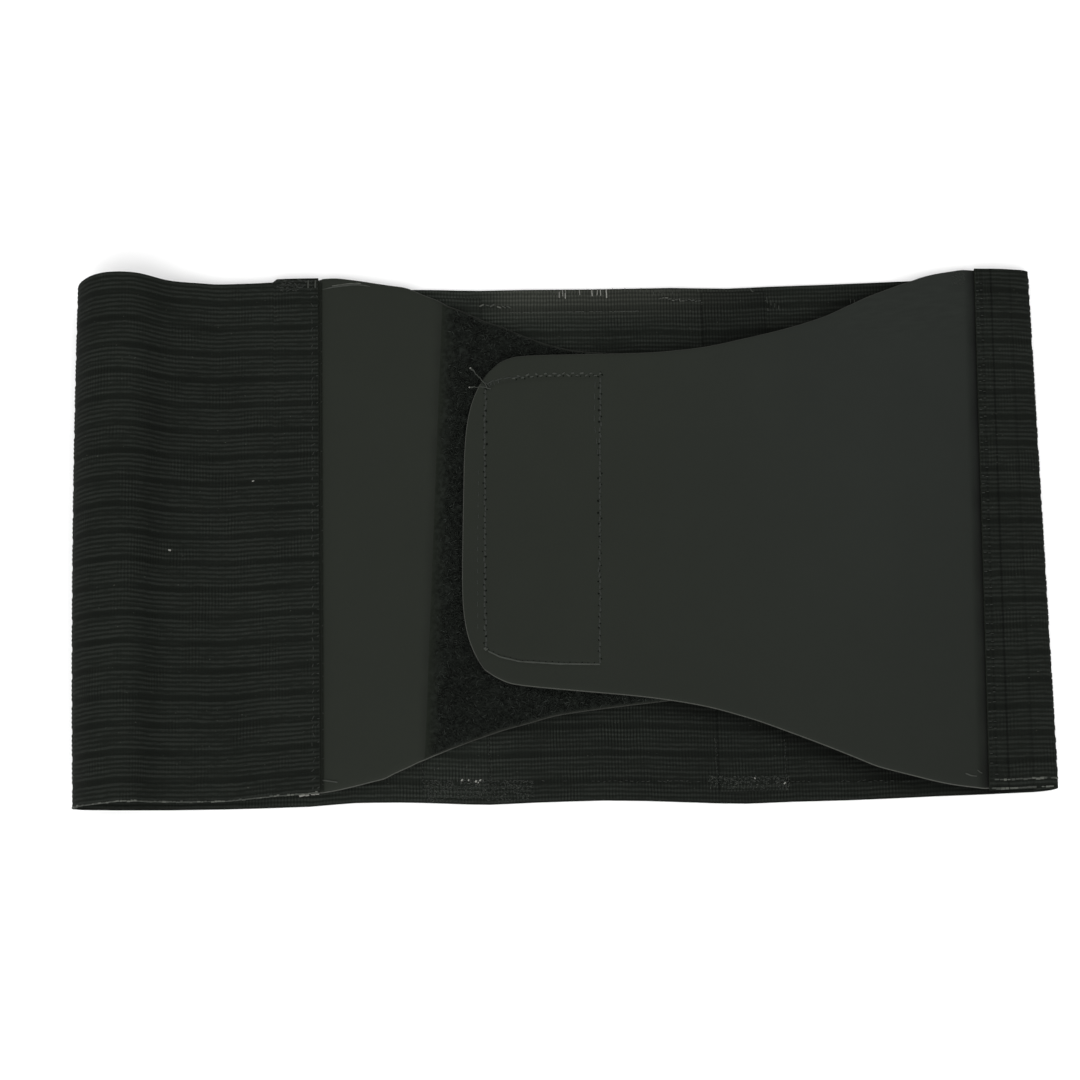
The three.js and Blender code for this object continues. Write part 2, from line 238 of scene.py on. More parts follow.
def lerp(a, b, t):
    return a + (b - a) * t


def smooth(x, lo, hi):
    t = np.clip((x - lo) / (hi - lo), 0, 1)
    return t * t * (3 - 2 * t)


def bulge(v):
    return 1 - np.abs(2 * v - 1) ** TAB_BOW


def stack(x, y, z):
    return np.stack(np.broadcast_arrays(x, y, z), -1).astype(float)


def right_place(u, y, z):
    c, s = math.cos(RIGHT_TURN), math.sin(RIGHT_TURN)
    return stack(-u * c - y * s + RIGHT_SEAM_X, -u * s + y * c + RIGHT_SEAM_Y, z)


def measure_elastic():
    """The elastic's length round the belt, mm."""
    r = elastic_table.at(np.linspace(0, elastic_table.last, 3001))
    return float(np.hypot(np.diff(r["x"]), np.diff(r["z"])).sum())


ELASTIC_LENGTH = measure_elastic()


# ---- mesh building ----


def unit(a):
    return a / np.maximum(np.linalg.norm(a, axis=-1, keepdims=True), 1e-12)


def make(name, verts, faces, uv=None, slots=None, shade=True):
    """A mesh object from points in millimetres and faces of three or four corners."""
    mesh = bpy.data.meshes.new(name)
    verts = (np.asarray(verts, float) - MIDDLE) * 0.001
    mesh.from_pydata(verts.tolist(), [], [list(map(int, f)) for f in faces] if not isinstance(faces, np.ndarray) else faces.tolist())
    if uv is not None:
        corners = np.zeros(len(mesh.loops), np.int32)
        mesh.loops.foreach_get("vertex_index", corners)
        layer = mesh.uv_layers.new(name="cloth")
        layer.data.foreach_set("uv", (np.asarray(uv, float)[corners] * 0.001).astype(np.float32).ravel())
    if slots is not None:
        mesh.polygons.foreach_set("material_index", np.asarray(slots, np.int32))
    if shade:
        mesh.polygons.foreach_set("use_smooth", np.ones(len(mesh.polygons), bool))
    mesh.update()
    obj = bpy.data.objects.new(name, mesh)
    bpy.context.scene.collection.objects.link(obj)
    return obj


def closed_sheet(name, top, bottom, uv, bead=0.3, rings=3, rim=0.0):
    """A sheet of cloth between two grids of points, with a rounded edge all round.
    The edge's faces take the second material. rim is not used."""
    n, m = top.shape[:2]
    li = np.concatenate([np.arange(n - 1), np.full(m - 1, n - 1), np.arange(n - 1, 0, -1), np.zeros(m - 1, int)])
    lj = np.concatenate([np.zeros(n - 1, int), np.arange(m - 1), np.full(n - 1, m - 1), np.arange(m - 1, 0, -1)])
    t, b = top[li, lj], bottom[li, lj]
    up = unit(t - b)
    out = unit(np.cross(np.roll(t, -1, 0) - np.roll(t, 1, 0), up))
    inner = top[np.clip(li, 2, n - 3), np.clip(lj, 2, m - 3)]
    if np.median(((t - inner) * out).sum(1)) < 0:
        out = -out
    mid, half = (t + b) / 2, (t - b) / 2
    top, bottom = top.copy(), bottom.copy()
    top[li, lj] = t - out * bead
    bottom[li, lj] = b - out * bead
    ring_points = []
    for k in range(1, rings + 1):
        a = math.pi * k / (rings + 1)
        ring_points.append(mid + half * math.cos(a) + out * bead * (math.sin(a) - 1))
    verts = np.concatenate([top.reshape(-1, 3), bottom.reshape(-1, 3)] + ring_points)
    size, around = n * m, len(li)
    i, j = np.meshgrid(np.arange(n - 1), np.arange(m - 1), indexing="ij")
    a = (i * m + j).ravel()
    quads = np.stack([a, a + m, a + m + 1, a + 1], 1)
    p = verts[quads[len(quads) // 2]]
    if np.dot(np.cross(p[1] - p[0], p[2] - p[0]), (top - bottom)[n // 2, m // 2]) < 0:
        quads = quads[:, ::-1]
    faces = [quads, quads[:, ::-1] + size]
    index = li * m + lj
    rows = [index] + [2 * size + k * around + np.arange(around) for k in range(rings)] + [index + size]
    wall = []
    for r0, r1 in zip(rows[:-1], rows[1:]):
        wall.append(np.stack([r0, np.roll(r0, -1), np.roll(r1, -1), r1], 1))
    wall = np.concatenate(wall)
    k = around // 3
    p = verts[wall[k]]
    if np.dot(np.cross(p[1] - p[0], p[2] - p[0]), out[k] + up[k] * 0.3) < 0:
        wall = wall[:, ::-1]
    faces = np.concatenate(faces + [wall])
    flat_uv = uv.reshape(-1, 2)
    uvs = np.concatenate([flat_uv, flat_uv] + [flat_uv[index]] * rings)
    slots = np.zeros(len(faces), int)
    slots[2 * len(quads):] = 1
    return make(name, verts, faces, uvs, slots)


class Batch:
    """Many small meshes kept as arrays, to be joined into one object."""

    def __init__(self):
        self.v, self.f, self.slot, self.count = [], [], [], 0

    def add(self, verts, faces, slot=0):
        self.v.append(verts)
        self.f.extend((np.asarray(f) + self.count) for f in faces)
        self.slot.extend(np.full(len(f), slot) for f in faces)
        self.count += len(verts)

    def tubes(self, paths, radius, sides=5, slot=0):
        """Closed tubes along paths, an array of (tubes, points, 3); radius is a number or (tubes, points)."""
        paths = np.asarray(paths, float)
        if paths.ndim == 2:
            paths = paths[None]
        count, steps = paths.shape[:2]
        if count == 0:
            return
        radius = np.broadcast_to(np.asarray(radius, float), (count, steps))
        along = unit(np.gradient(paths, axis=1))
        hint = np.where(np.abs(along[..., 2:3]) > 0.9, [[[1.0, 0.0, 0.0]]], [[[0.0, 0.0, 1.0]]])
        hint = np.broadcast_to(hint[:, steps // 2:steps // 2 + 1], along.shape)
        a = unit(np.cross(along, hint) + 1e-9)
        b = np.cross(a, along)
        turn = np.arange(sides) * 2 * math.pi / sides
        ring = a[:, :, None] * np.cos(turn)[:, None] + b[:, :, None] * np.sin(turn)[:, None]
        verts = paths[:, :, None] + ring * radius[:, :, None, None]
        verts = verts.reshape(count, -1, 3)
        ends = np.stack([paths[:, 0] - along[:, 0] * radius[:, :1] * 0.6, paths[:, -1] + along[:, -1] * radius[:, -1:] * 0.6], 1)
        verts = np.concatenate([verts, ends], 1)
        per = verts.shape[1]
        s, k = np.meshgrid(np.arange(steps - 1), np.arange(sides), indexing="ij")
        s, k = s.ravel(), k.ravel()
        nk = (k + 1) % sides
        quads = np.stack([s * sides + k, s * sides + nk, (s + 1) * sides + nk, (s + 1) * sides + k], 1)
        k = np.arange(sides)
        nk = (k + 1) % sides
        first = np.stack([np.full(sides, steps * sides), nk, k], 1)
        lastring = (steps - 1) * sides
        last = np.stack([np.full(sides, steps * sides + 1), lastring + k, lastring + nk], 1)
        base = (np.arange(count) * per)[:, None, None]
        self.add(
            verts.reshape(-1, 3),
            [(quads[None] + base).reshape(-1, 4), (np.concatenate([first, last])[None] + base).reshape(-1, 3)],
            slot,
        )

    def build(self, name):
        faces = [f for group in self.f for f in group.tolist()]
        slots = np.concatenate(self.slot)
        return make(name, np.concatenate(self.v), faces, slots=slots)


class Ground:
    """The height of a piece's surface seen from above, in millimetres."""

    def __init__(self, obj):
        mesh = obj.data
        co = np.zeros(len(mesh.vertices) * 3)
        mesh.vertices.foreach_get("co", co)
        self.tree = BVHTree.FromPolygons(
            co.reshape(-1, 3).tolist(), [tuple(p.vertices) for p in mesh.polygons]
        )

    def z(self, x, y, default=None):
        hit = self.tree.ray_cast(Vector(((x - MIDDLE[0]) * 0.001, (y - MIDDLE[1]) * 0.001, 0.2)), Vector((0, 0, -1)))
        return default if hit[0] is None else hit[0].z * 1000

    def lay(self, xy, lift=0.0, default=0.0):
        return np.array([[x, y, self.z(x, y, default) + lift] for x, y in xy])


def resample(line, step=None, count=None):
    """A polyline read at even distances."""
    line = np.asarray(line, float)
    s = np.concatenate([[0], np.cumsum(np.linalg.norm(np.diff(line, axis=0), axis=1))])
    if count is None:
        count = max(2, int(round(s[-1] / step)) + 1)
    at = np.linspace(0, s[-1], count)
    return np.stack([np.interp(at, s, line[:, k]) for k in range(line.shape[1])], 1)


def stitch_line(batch, ground, line, pitch, share=0.8, radius=0.28, sink=0.3, lift=0.12, wander=0.12, slot=0, steps=6, slant=0.0):
    """Stitches along a line on a surface: each one rises out of one needle hole and goes down the next."""
    points = resample(line, step=pitch)
    paths = []
    for a, b in zip(points[:-1], points[1:]):
        d = b - a
        side = np.array([-d[1], d[0]]) / max(np.linalg.norm(d), 1e-9)
        a = a + side * RNG.normal(0, wander) - side * slant
        b = b + side * RNG.normal(0, wander) + side * slant
        mid, half = (a + b) / 2, (b - a) / 2 * share
        t = np.linspace(-1, 1, steps)
        xy = mid + t[:, None] * half
        z = np.array([ground.z(x, y, 0.0) for x, y in xy])
        z = np.maximum(z, np.median(z) - 0.4)
        arch = (1 - np.abs(t) ** 3) * (sink + lift) - sink
        paths.append(np.column_stack([xy, z + arch]))
    if paths:
        batch.tubes(np.array(paths), radius, 6, slot)


# ---- materials ----


class Paint:
    """A procedural material, built node by node."""

    def __init__(self, name, roughness=0.9, specular=0.1, sheen=0.0, sheen_roughness=0.5):
        self.material = bpy.data.materials.new(name)
        self.material.use_nodes = True
        self.tree = self.material.node_tree
        self.tree.nodes.clear()
        self.out = self.tree.nodes.new("ShaderNodeOutputMaterial")
        self.shader = self.tree.nodes.new("ShaderNodeBsdfPrincipled")
        self.tree.links.new(self.shader.outputs[0], self.out.inputs[0])
        self.shader.inputs["Roughness"].default_value = roughness
        self.shader.inputs["Specular IOR Level"].default_value = specular
        self.shader.inputs["Sheen Weight"].default_value = sheen
        self.shader.inputs["Sheen Roughness"].default_value = sheen_roughness
        self.place = self.tree.nodes.new("ShaderNodeTexCoord")

    def put(self, socket, value):
        if isinstance(value, bpy.types.NodeSocket):
            self.tree.links.new(value, socket)
        else:
            socket.default_value = value

    def math(self, op, a, b=0.0, c=0.0):
        node = self.tree.nodes.new("ShaderNodeMath")
        node.operation = op
        for socket, value in zip(node.inputs, (a, b, c)):
            self.put(socket, value)
        return node.outputs[0]

    def xyz(self, vector):
        node = self.tree.nodes.new("ShaderNodeSeparateXYZ")
        self.put(node.inputs[0], vector)
        return node.outputs

    def vector(self, x, y, z=0.0):
        node = self.tree.nodes.new("ShaderNodeCombineXYZ")
        for socket, value in zip(node.inputs, (x, y, z)):
            self.put(socket, value)
        return node.outputs[0]

    def noise(self, scale, detail=2.0, vector=None, rough=0.5, distortion=0.0):
        node = self.tree.nodes.new("ShaderNodeTexNoise")
        self.put(node.inputs["Vector"], vector if vector is not None else self.place.outputs["Object"])
        node.inputs["Scale"].default_value = scale
        node.inputs["Detail"].default_value = detail
        node.inputs["Roughness"].default_value = rough
        node.inputs["Distortion"].default_value = distortion
        return node.outputs[0]

    def cells(self, scale, vector=None, feature="F1"):
        node = self.tree.nodes.new("ShaderNodeTexVoronoi")
        node.feature = feature
        self.put(node.inputs["Vector"], vector if vector is not None else self.place.outputs["Object"])
        node.inputs["Scale"].default_value = scale
        return node.outputs[0]

    def ramp(self, value, lo, hi, to_lo=0.0, to_hi=1.0):
        node = self.tree.nodes.new("ShaderNodeMapRange")
        node.interpolation_type = "SMOOTHSTEP"
        self.put(node.inputs["Value"], value)
        node.inputs["From Min"].default_value = lo
        node.inputs["From Max"].default_value = hi
        node.inputs["To Min"].default_value = to_lo
        node.inputs["To Max"].default_value = to_hi
        return node.outputs[0]

    def mix(self, share, a, b):
        node = self.tree.nodes.new("ShaderNodeMix")
        node.data_type = "RGBA"
        self.put(node.inputs[0], share)
        for socket, value in ((node.inputs[6], a), (node.inputs[7], b)):
            self.put(socket, value if isinstance(value, bpy.types.NodeSocket) else (*value, 1.0))
        return node.outputs[2]

    def times(self, colour, value):
        node = self.tree.nodes.new("ShaderNodeVectorMath")
        node.operation = "SCALE"
        self.put(node.inputs[0], colour if isinstance(colour, bpy.types.NodeSocket) else tuple(colour))
        self.put(node.inputs["Scale"], value)
        return node.outputs[0]

    def bump(self, height, distance, strength=1.0, normal=None):
        node = self.tree.nodes.new("ShaderNodeBump")
        node.inputs["Distance"].default_value = distance
        node.inputs["Strength"].default_value = strength
        self.put(node.inputs["Height"], height)
        if normal is not None:
            self.put(node.inputs["Normal"], normal)
        return node.outputs[0]

    def finish(self, colour=None, normal=None, roughness=None):
        if colour is not None:
            self.put(self.shader.inputs["Base Color"], colour if isinstance(colour, bpy.types.NodeSocket) else (*colour, 1.0))
        if normal is not None:
            self.put(self.shader.inputs["Normal"], normal)
        if roughness is not None:
            self.put(self.shader.inputs["Roughness"], roughness)
        return self.material


def elastic_paint(name, rib_colour, groove_shade_colour, length=None, casing=False):
    """Ribbed elastic: five uneven ribs and a flat dark strip to each band, crossed here and there by the weft."""
    p = Paint(name, roughness=0.9, specular=0.05)
    u, v, _ = p.xyz(p.place.outputs["UV"])
    x, y, z = p.xyz(p.place.outputs["Object"])
    row = p.math("DIVIDE", p.math("SUBTRACT", v, (FIRST_GROOVE + 100) * 0.001), RIB * 0.001)
    slow = p.math("SUBTRACT", p.noise(1.0, 2, p.vector(p.math("MULTIPLY", u, 55.0), p.math("MULTIPLY", v, 45.0))), 0.5)
    quick = p.math("SUBTRACT", p.noise(420, 2), 0.5)
    row = p.math("ADD", row, p.math("MULTIPLY_ADD", slow, 0.75, p.math("MULTIPLY", quick, 0.30)))
    rib = p.ramp(p.math("MULTIPLY_ADD", p.math("COSINE", p.math("MULTIPLY", row, 2 * math.pi)), 0.5, 0.5), 0.12, 0.95)
    off = p.math("MULTIPLY", p.math("PINGPONG", p.math("DIVIDE", row, 6.0), 0.5), 6.0)
    flat = p.ramp(off, 0.22, 0.72, 1.0, 0.0)
    fade = p.ramp(p.noise(1.0, 2, p.vector(p.math("MULTIPLY", u, 38.0), p.math("MULTIPLY", v, 70.0))), 0.32, 0.62, 0.60, 1.0)
    flat = p.math("MULTIPLY", flat, fade)
    rib = p.math("MULTIPLY", rib, p.math("SUBTRACT", 1.0, flat))
    thread = p.ramp(p.noise(1.0, 2, p.vector(p.math("MULTIPLY", u, 42.0), p.math("MULTIPLY", v, 640.0))), 0.28, 0.72, 0.35, 1.55)
    dash = p.ramp(p.noise(1.0, 2, p.vector(p.math("MULTIPLY", u, 260.0), p.math("MULTIPLY", v, 900.0))), 0.3, 0.7, 0.55, 1.45)
    drift = p.math("MULTIPLY", p.math("SUBTRACT", p.noise(150, 2), 0.5), 3.4)
    weft = p.math("MULTIPLY_ADD", p.math("SINE", p.math("MULTIPLY_ADD", u, 2 * math.pi / (WEFT * 0.001), drift)), 0.5, 0.5)
    patch = p.ramp(p.noise(1.0, 2, p.vector(p.math("MULTIPLY", u, 75.0), p.math("MULTIPLY", v, 60.0))), 0.50, 0.66)
    crossed = p.math("MULTIPLY", p.math("SUBTRACT", weft, 0.45), p.math("MULTIPLY_ADD", patch, 0.42, 0.10))
    tone = p.math("MULTIPLY_ADD", p.noise(38, 3), 0.36, 0.82)
    fine = p.math("MULTIPLY_ADD", p.noise(2600, 2), 0.6, 0.7)
    lum = p.math("MULTIPLY", p.math("ADD", 1.0, crossed), p.math("MULTIPLY", tone, fine))
    ribbed = p.math("MULTIPLY", rib, p.math("MULTIPLY", thread, dash))
    if casing:
        back = 1.0
    else:
        back = p.math("MULTIPLY", p.ramp(u, 0.165, 0.185), p.ramp(u, (length - 35) * 0.001, (length - 29) * 0.001, 1.0, 0.0))
    woven = p.ramp(p.noise(1.0, 2, p.vector(p.math("MULTIPLY", u, 95.0), p.math("MULTIPLY", v, 130.0))), 0.36, 0.62, 0.10, 0.55)
    ribbed = p.math("MULTIPLY_ADD", ribbed, p.math("MULTIPLY_ADD", back, -0.14, 1.0), p.math("MULTIPLY", back, 0.05))
    lum = p.math("MULTIPLY", lum, p.math("MULTIPLY_ADD", p.math("MULTIPLY", back, p.math("SUBTRACT", weft, 0.5)), woven, 1.0))
    lum = p.math("MULTIPLY", lum, p.math("MULTIPLY_ADD", flat, -0.16, 1.0))
    # Painted light: the back is lightened, by 20% towards its lower side and by 56% towards its upper side.
    if not casing:
        lum = p.math("MULTIPLY", lum, p.math("MULTIPLY_ADD", back, p.ramp(y, -0.02, 0.02, 0.20, 0.56), 1.0))
    # Painted shade: the grooves between the ribs and the flat strips take the darker groove shade colour.
    body = p.times(p.mix(ribbed, groove_shade_colour, rib_colour), lum)
    across = p.math("MULTIPLY", p.ramp(x, -0.035, -0.012), p.ramp(x, 0.030, 0.090, 1.0, 0.0))
    open_weave = p.math("MULTIPLY", back, p.math("MULTIPLY", across, p.ramp(y, 0.0825, 0.0965)))
    grid = p.math("MULTIPLY", weft, p.math("MULTIPLY_ADD", rib, 0.6, 0.4))
    body = p.mix(p.math("MULTIPLY", open_weave, p.math("MULTIPLY_ADD", grid, 0.55, 0.16)), body, (0.052, 0.054, 0.045))
    body = back_shade(p, body, x, y, p.math("MULTIPLY", back, p.ramp(z, 0.0004, 0.0008)))
    if length is not None:
        # Over the narrow strip the elastic is 7% darker; painted shade darkens it in lines in its two creases and at
        # its seam end.
        body = p.times(body, p.ramp(u, (length - 34) * 0.001, (length - 28) * 0.001, 1.0, 0.93))
        for place, width, depth in ((4.6, 0.75, 0.50), (12.9, 0.8, 0.25), (0.5, 0.5, 0.35)):
            away = p.math("ABSOLUTE", p.math("SUBTRACT", u, (length - place) * 0.001))
            wide = p.math("MULTIPLY_ADD", p.noise(90, 2), width * 0.0016, width * 0.0002)
            near = p.math("SUBTRACT", 1.0, p.math("DIVIDE", away, wide))
            body = p.times(body, p.math("MULTIPLY_ADD", p.math("MAXIMUM", near, 0.0), -depth, 1.0))
    speck = p.ramp(p.noise(1300, 1), 0.755, 0.81)
    body = p.mix(p.math("MULTIPLY", speck, 0.30), body, (0.10, 0.105, 0.09))
    height = p.math("ADD", p.math("MULTIPLY", p.math("ABSOLUTE", crossed), 0.6), p.math("MULTIPLY", fine, 0.4))
    return p.finish(body, p.bump(height, 0.00022, 0.8))


def back_shade(p, body, x, y, where):
    """The back is a little darker close to the panels' edges, and towards the right below them."""
    above = p.math("MULTIPLY", p.ramp(x, -0.05, 0.0), p.ramp(p.math("SUBTRACT", y, edge_height(p, x, "hi")), 0.0, 0.008, 0.22, 0.0))
    body = p.times(body, p.math("SUBTRACT", 1.0, p.math("MULTIPLY", where, above)))
    below = p.math("MULTIPLY", p.ramp(x, -0.04, 0.05), p.ramp(p.math("SUBTRACT", edge_height(p, x, "lo"), y), 0.0, 0.009, 0.36, 0.0))
    below = p.math("MULTIPLY_ADD", p.math("MULTIPLY", p.ramp(x, 0.02, 0.06), p.math("LESS_THAN", y, 0.0)), 0.11, below)
    return p.times(body, p.math("SUBTRACT", 1.0, p.math("MULTIPLY", where, below)))


def edge_height(p, x, side):
    """The height of the right panel's upper or lower edge over the back, from its table, as a curve over x."""
    q = np.linspace(1, right_table.last, 200)
    r = right_table.at(q)
    place = right_place(r["u"], r[side], 0.0) - MIDDLE
    at = np.linspace(-0.04, 0.17, 15)
    order = np.argsort(place[:, 0])
    height = np.interp(at * 1000, place[order, 0], place[order, 1])
    node = p.tree.nodes.new("ShaderNodeFloatCurve")
    curve = node.mapping.curves[0]
    points = [((a + 0.04) / 0.21, (h + 110) / 220) for a, h in zip(at, height)]
    curve.points[0].location, curve.points[1].location = points[0], points[-1]
    for point in points[1:-1]:
        curve.points.new(*point)
    node.mapping.update()
    p.put(node.inputs["Value"], p.math("DIVIDE", p.math("ADD", x, 0.04), 0.21))
    return p.math("MULTIPLY_ADD", node.outputs[0], 0.220, -0.110)


def panel_paint(name, colour, painted_light=None, tint=None):
    """Smooth coated cloth: a very fine grain over soft, broad changes of tone."""
    p = Paint(name, roughness=0.78, specular=0.12, sheen=0.0)
    grain = p.noise(2600, 3, rough=0.6)
    pores = p.cells(1500)
    broad = p.math("MULTIPLY_ADD", p.noise(14, 3), 0.16, 0.92)
    fine = p.math("MULTIPLY_ADD", grain, 0.24, 0.88)
    lum = p.math("MULTIPLY", broad, fine)
    lum = p.math("MULTIPLY", lum, p.math("MULTIPLY_ADD", p.noise(75, 3), 0.10, 0.95))
    if tint is not None:
        x, y, _ = p.xyz(p.place.outputs["Object"])
        colour = p.mix(p.math("MULTIPLY", p.ramp(x, 0.0, 0.14), p.ramp(y, -0.10, 0.08, 0.35, 1.0)), colour, tint)
    # Painted shade from the function passed in; on the right panel it brings painted sheen as well.
    if painted_light is not None:
        lum = p.math("MULTIPLY", lum, painted_light(p))
    height = p.math("ADD", p.math("MULTIPLY", grain, 0.5), p.math("MULTIPLY", pores, 0.5))
    creases = p.noise(130, 4, rough=0.65, distortion=0.6)
    normal = p.bump(creases, 0.0006, 0.22)
    normal = p.bump(height, 0.00008, 0.6, normal)
    return p.finish(p.times(colour, lum), normal, p.math("MULTIPLY_ADD", grain, 0.14, 0.70))


def thread_paint(name, colour, roughness=0.8, specular=0.15):
    p = Paint(name, roughness=roughness, specular=specular)
    twist = p.noise(3500, 2)
    lum = p.math("MULTIPLY", p.math("MULTIPLY_ADD", twist, 0.6, 0.7), p.math("MULTIPLY_ADD", p.noise(300, 2), 0.5, 0.75))
    return p.finish(p.times(colour, lum), p.bump(twist, 0.0001, 0.6))


def fuzz_paint(name, colour, spread=0.8):
    p = Paint(name, roughness=0.95, specular=0.04)
    lum = p.math("MULTIPLY_ADD", p.noise(900, 3, rough=0.7), spread * 2, 1 - spread)
    broad = p.math("MULTIPLY_ADD", p.noise(60, 2), 0.5, 0.75)
    return p.finish(p.times(colour, p.math("MULTIPLY", lum, broad)), p.bump(p.noise(1400, 3, rough=0.7), 0.0004, 0.9))


def cut_paint(name, colour, shade):
    """A cut edge, with how light it is at each place."""
    p = Paint(name, roughness=0.95, specular=0.04)
    lum = p.math("MULTIPLY_ADD", p.noise(900, 3, rough=0.7), 0.9, 0.55)
    x, y, _ = p.xyz(p.place.outputs["Object"])
    return p.finish(p.times(colour, p.math("MULTIPLY", lum, shade(p, x, y))), p.bump(p.noise(1400, 3, rough=0.7), 0.0004, 0.9))


def left_edge_shade(p, x, y):
    """The left panel's cut edge is dull over the pile, duller at its upper side."""
    pile_side = p.ramp(x, -0.052, -0.036)
    upper = p.math("GREATER_THAN", y, 0.0)
    return p.math("SUBTRACT", 1.0, p.math("MULTIPLY", pile_side, p.math("MULTIPLY_ADD", upper, 0.12, 0.48)))


def right_edge_shade(p, x, y):
    """The right panel's upper edge takes less light than its lower one and the tab's end."""
    return p.math("SUBTRACT", 1.0, p.math("MULTIPLY", p.ramp(y, 0.060, 0.070), 0.45))


def pile_edge_painted_shade(p):
    """Painted shade on the left panel: darker where its smooth face rolls down to the pile, and in the valley at its
    seam.
    """
    u, v, _ = p.xyz(p.place.outputs["UV"])
    wave = p.math("MULTIPLY", p.math("SUBTRACT", p.noise(110, 3), 0.5), 0.004)
    to_pile = p.ramp(p.math("ADD", u, wave), 0.0400, 0.0450, 1.0, 0.72)
    return p.math("MULTIPLY", to_pile, p.ramp(u, -0.001, 0.0015, 0.7, 1.0))


def seam_painted_shade_and_sheen(p):
    """Painted shade on the right panel in the valley at its seam, and painted sheen: light and dark streaks along fine
    wrinkles near its upper edge, towards the seam.
    """
    u, v, _ = p.xyz(p.place.outputs["UV"])
    wave = p.math("MULTIPLY", p.math("SUBTRACT", p.noise(60, 2), 0.5), 0.003)
    x, y, _ = p.xyz(p.place.outputs["Object"])
    where = p.math("MULTIPLY", p.ramp(y, 0.068, 0.082), p.ramp(x, 0.100, 0.120))
    sheen_streak = p.math("SUBTRACT", p.noise(1.0, 3, p.vector(p.math("MULTIPLY", x, 130.0), p.math("MULTIPLY_ADD", y, 620.0, p.math("MULTIPLY", x, -90.0)))), 0.5)
    wrinkle_sheen = p.math("MULTIPLY_ADD", p.math("MULTIPLY", where, sheen_streak), 0.55, 1.0)
    return p.math("MULTIPLY", wrinkle_sheen, seam_valley_painted_shade(p, u, wave))


def seam_valley_painted_shade(p, u, wave):
    # Painted shade in the seam's valley, down to 30% at its deepest and gone 4 mm out, then 5% more fading out by 34
    # mm; the panel is also a little darker towards its lower edge and lighter towards its upper one.
    return p.math("MULTIPLY", p.ramp(p.math("ADD", u, wave), -0.0008, 0.0038, 0.30, 1.0), p.math("MULTIPLY", p.ramp(u, 0.004, 0.034, 0.95, 1.0), p.ramp(p.xyz(p.place.outputs["Object"])[1], -0.095, 0.09, 0.90, 1.055)))


def pile_paint(name, colour):
    """Brushed pile: soft clumps, darker between them; the nap begins gradually at the smooth part."""
    p = Paint(name, roughness=0.95, specular=0.04)
    broad = p.math("MULTIPLY_ADD", p.noise(140, 2), 0.7, 0.65)
    u, v, _ = p.xyz(p.place.outputs["UV"])
    clumps = p.ramp(p.noise(620, 3, rough=0.6), 0.32, 0.70, 0.45, 1.65)
    wave = p.math("MULTIPLY", p.math("SUBTRACT", p.noise(160, 3), 0.5), 0.003)
    along = p.math("ADD", u, wave)
    smooth_part = p.math("MULTIPLY", p.ramp(along, 0.0495, 0.0540, 1.0, 0.34), p.ramp(along, 0.0530, 0.0590, 1.0, 0.0))
    body = p.mix(smooth_part, p.times(colour, p.math("MULTIPLY", clumps, broad)), tuple(0.93 * c for c in PANEL_COLOUR))
    return p.finish(body, p.bump(p.math("MULTIPLY", p.noise(900, 3, rough=0.7), p.ramp(u, 0.050, 0.058, 0.15, 1.0)), 0.0005, 0.9))


PANEL_COLOUR = (0.0106, 0.0126, 0.0094)
paint = {
    "elastic": elastic_paint("ribbed_elastic", (0.0120, 0.0137, 0.0117), (0.0056, 0.0067, 0.0054), ELASTIC_LENGTH),
    "elastic_edge": fuzz_paint("elastic_selvedge", (0.012, 0.014, 0.011)),
    "casing": elastic_paint("casing_tape", (0.0150, 0.0172, 0.0147), (0.0072, 0.0087, 0.0070), casing=True),
    "left": panel_paint("left_panel_cloth", PANEL_COLOUR, pile_edge_painted_shade),
    "right": panel_paint("right_panel_cloth", PANEL_COLOUR, seam_painted_shade_and_sheen, (0.0108, 0.0128, 0.0108)),
    "cut_left": cut_paint("cut_edge_left", (0.050, 0.052, 0.046), left_edge_shade),
    "cut": cut_paint("cut_edge", (0.050, 0.052, 0.046), right_edge_shade),
    "pile": pile_paint("pile_ground", (0.0066, 0.0077, 0.0066)),
    "loops": thread_paint("pile_loops", (0.0100, 0.0116, 0.0098), 0.9, 0.05),
    "loops_light": thread_paint("pile_loops_light", (0.022, 0.025, 0.022), 0.9, 0.05),
    "hook": thread_paint("hook_tape", (0.010, 0.011, 0.010), 0.55, 0.3),
    "thread": thread_paint("sewing_thread", (0.0190, 0.0212, 0.0184)),
    # painted shade for the needle holes
    "hole": thread_paint("needle_hole_shade", (0.0042, 0.0050, 0.0040), 0.95, 0.02),
    "thread_light": thread_paint("sewing_thread_light", (0.032, 0.035, 0.030)),
    "thread_pale": thread_paint("pale_thread", (0.062, 0.066, 0.057)),
    "white": thread_paint("whitish_thread", (0.17, 0.17, 0.155)),
}


def dress(obj, slot_name, *names):
    for n in names:
        obj.data.materials.append(paint[n])
    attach(obj, "root")
    return obj


# ---- the ribbed elastic ----


def elastic_frame(q):
    """Each section's row and its direction towards the hollow."""
    r = elastic_table.at(q)
    a = elastic_table.at(np.maximum(0, q - 0.02))
    b = elastic_table.at(np.minimum(elastic_table.last, q + 0.02))
    dx, dz = b["x"] - a["x"], b["z"] - a["z"]
    size = np.hypot(dx, dz)
    return r, -dz / size, dx / size


def elastic_point(q, v, depth):
    """A place in the elastic: row number, share of the height, and distance in from the outer skin."""
    r, ix, iz = elastic_frame(q)
    y = lerp(r["lo"], r["hi"], v)
    return stack(r["x"] + r["lean"] * y + r["sway"] * (1 - (2 * v - 1) ** 2) + ix * depth, y, r["z"] + iz * depth)


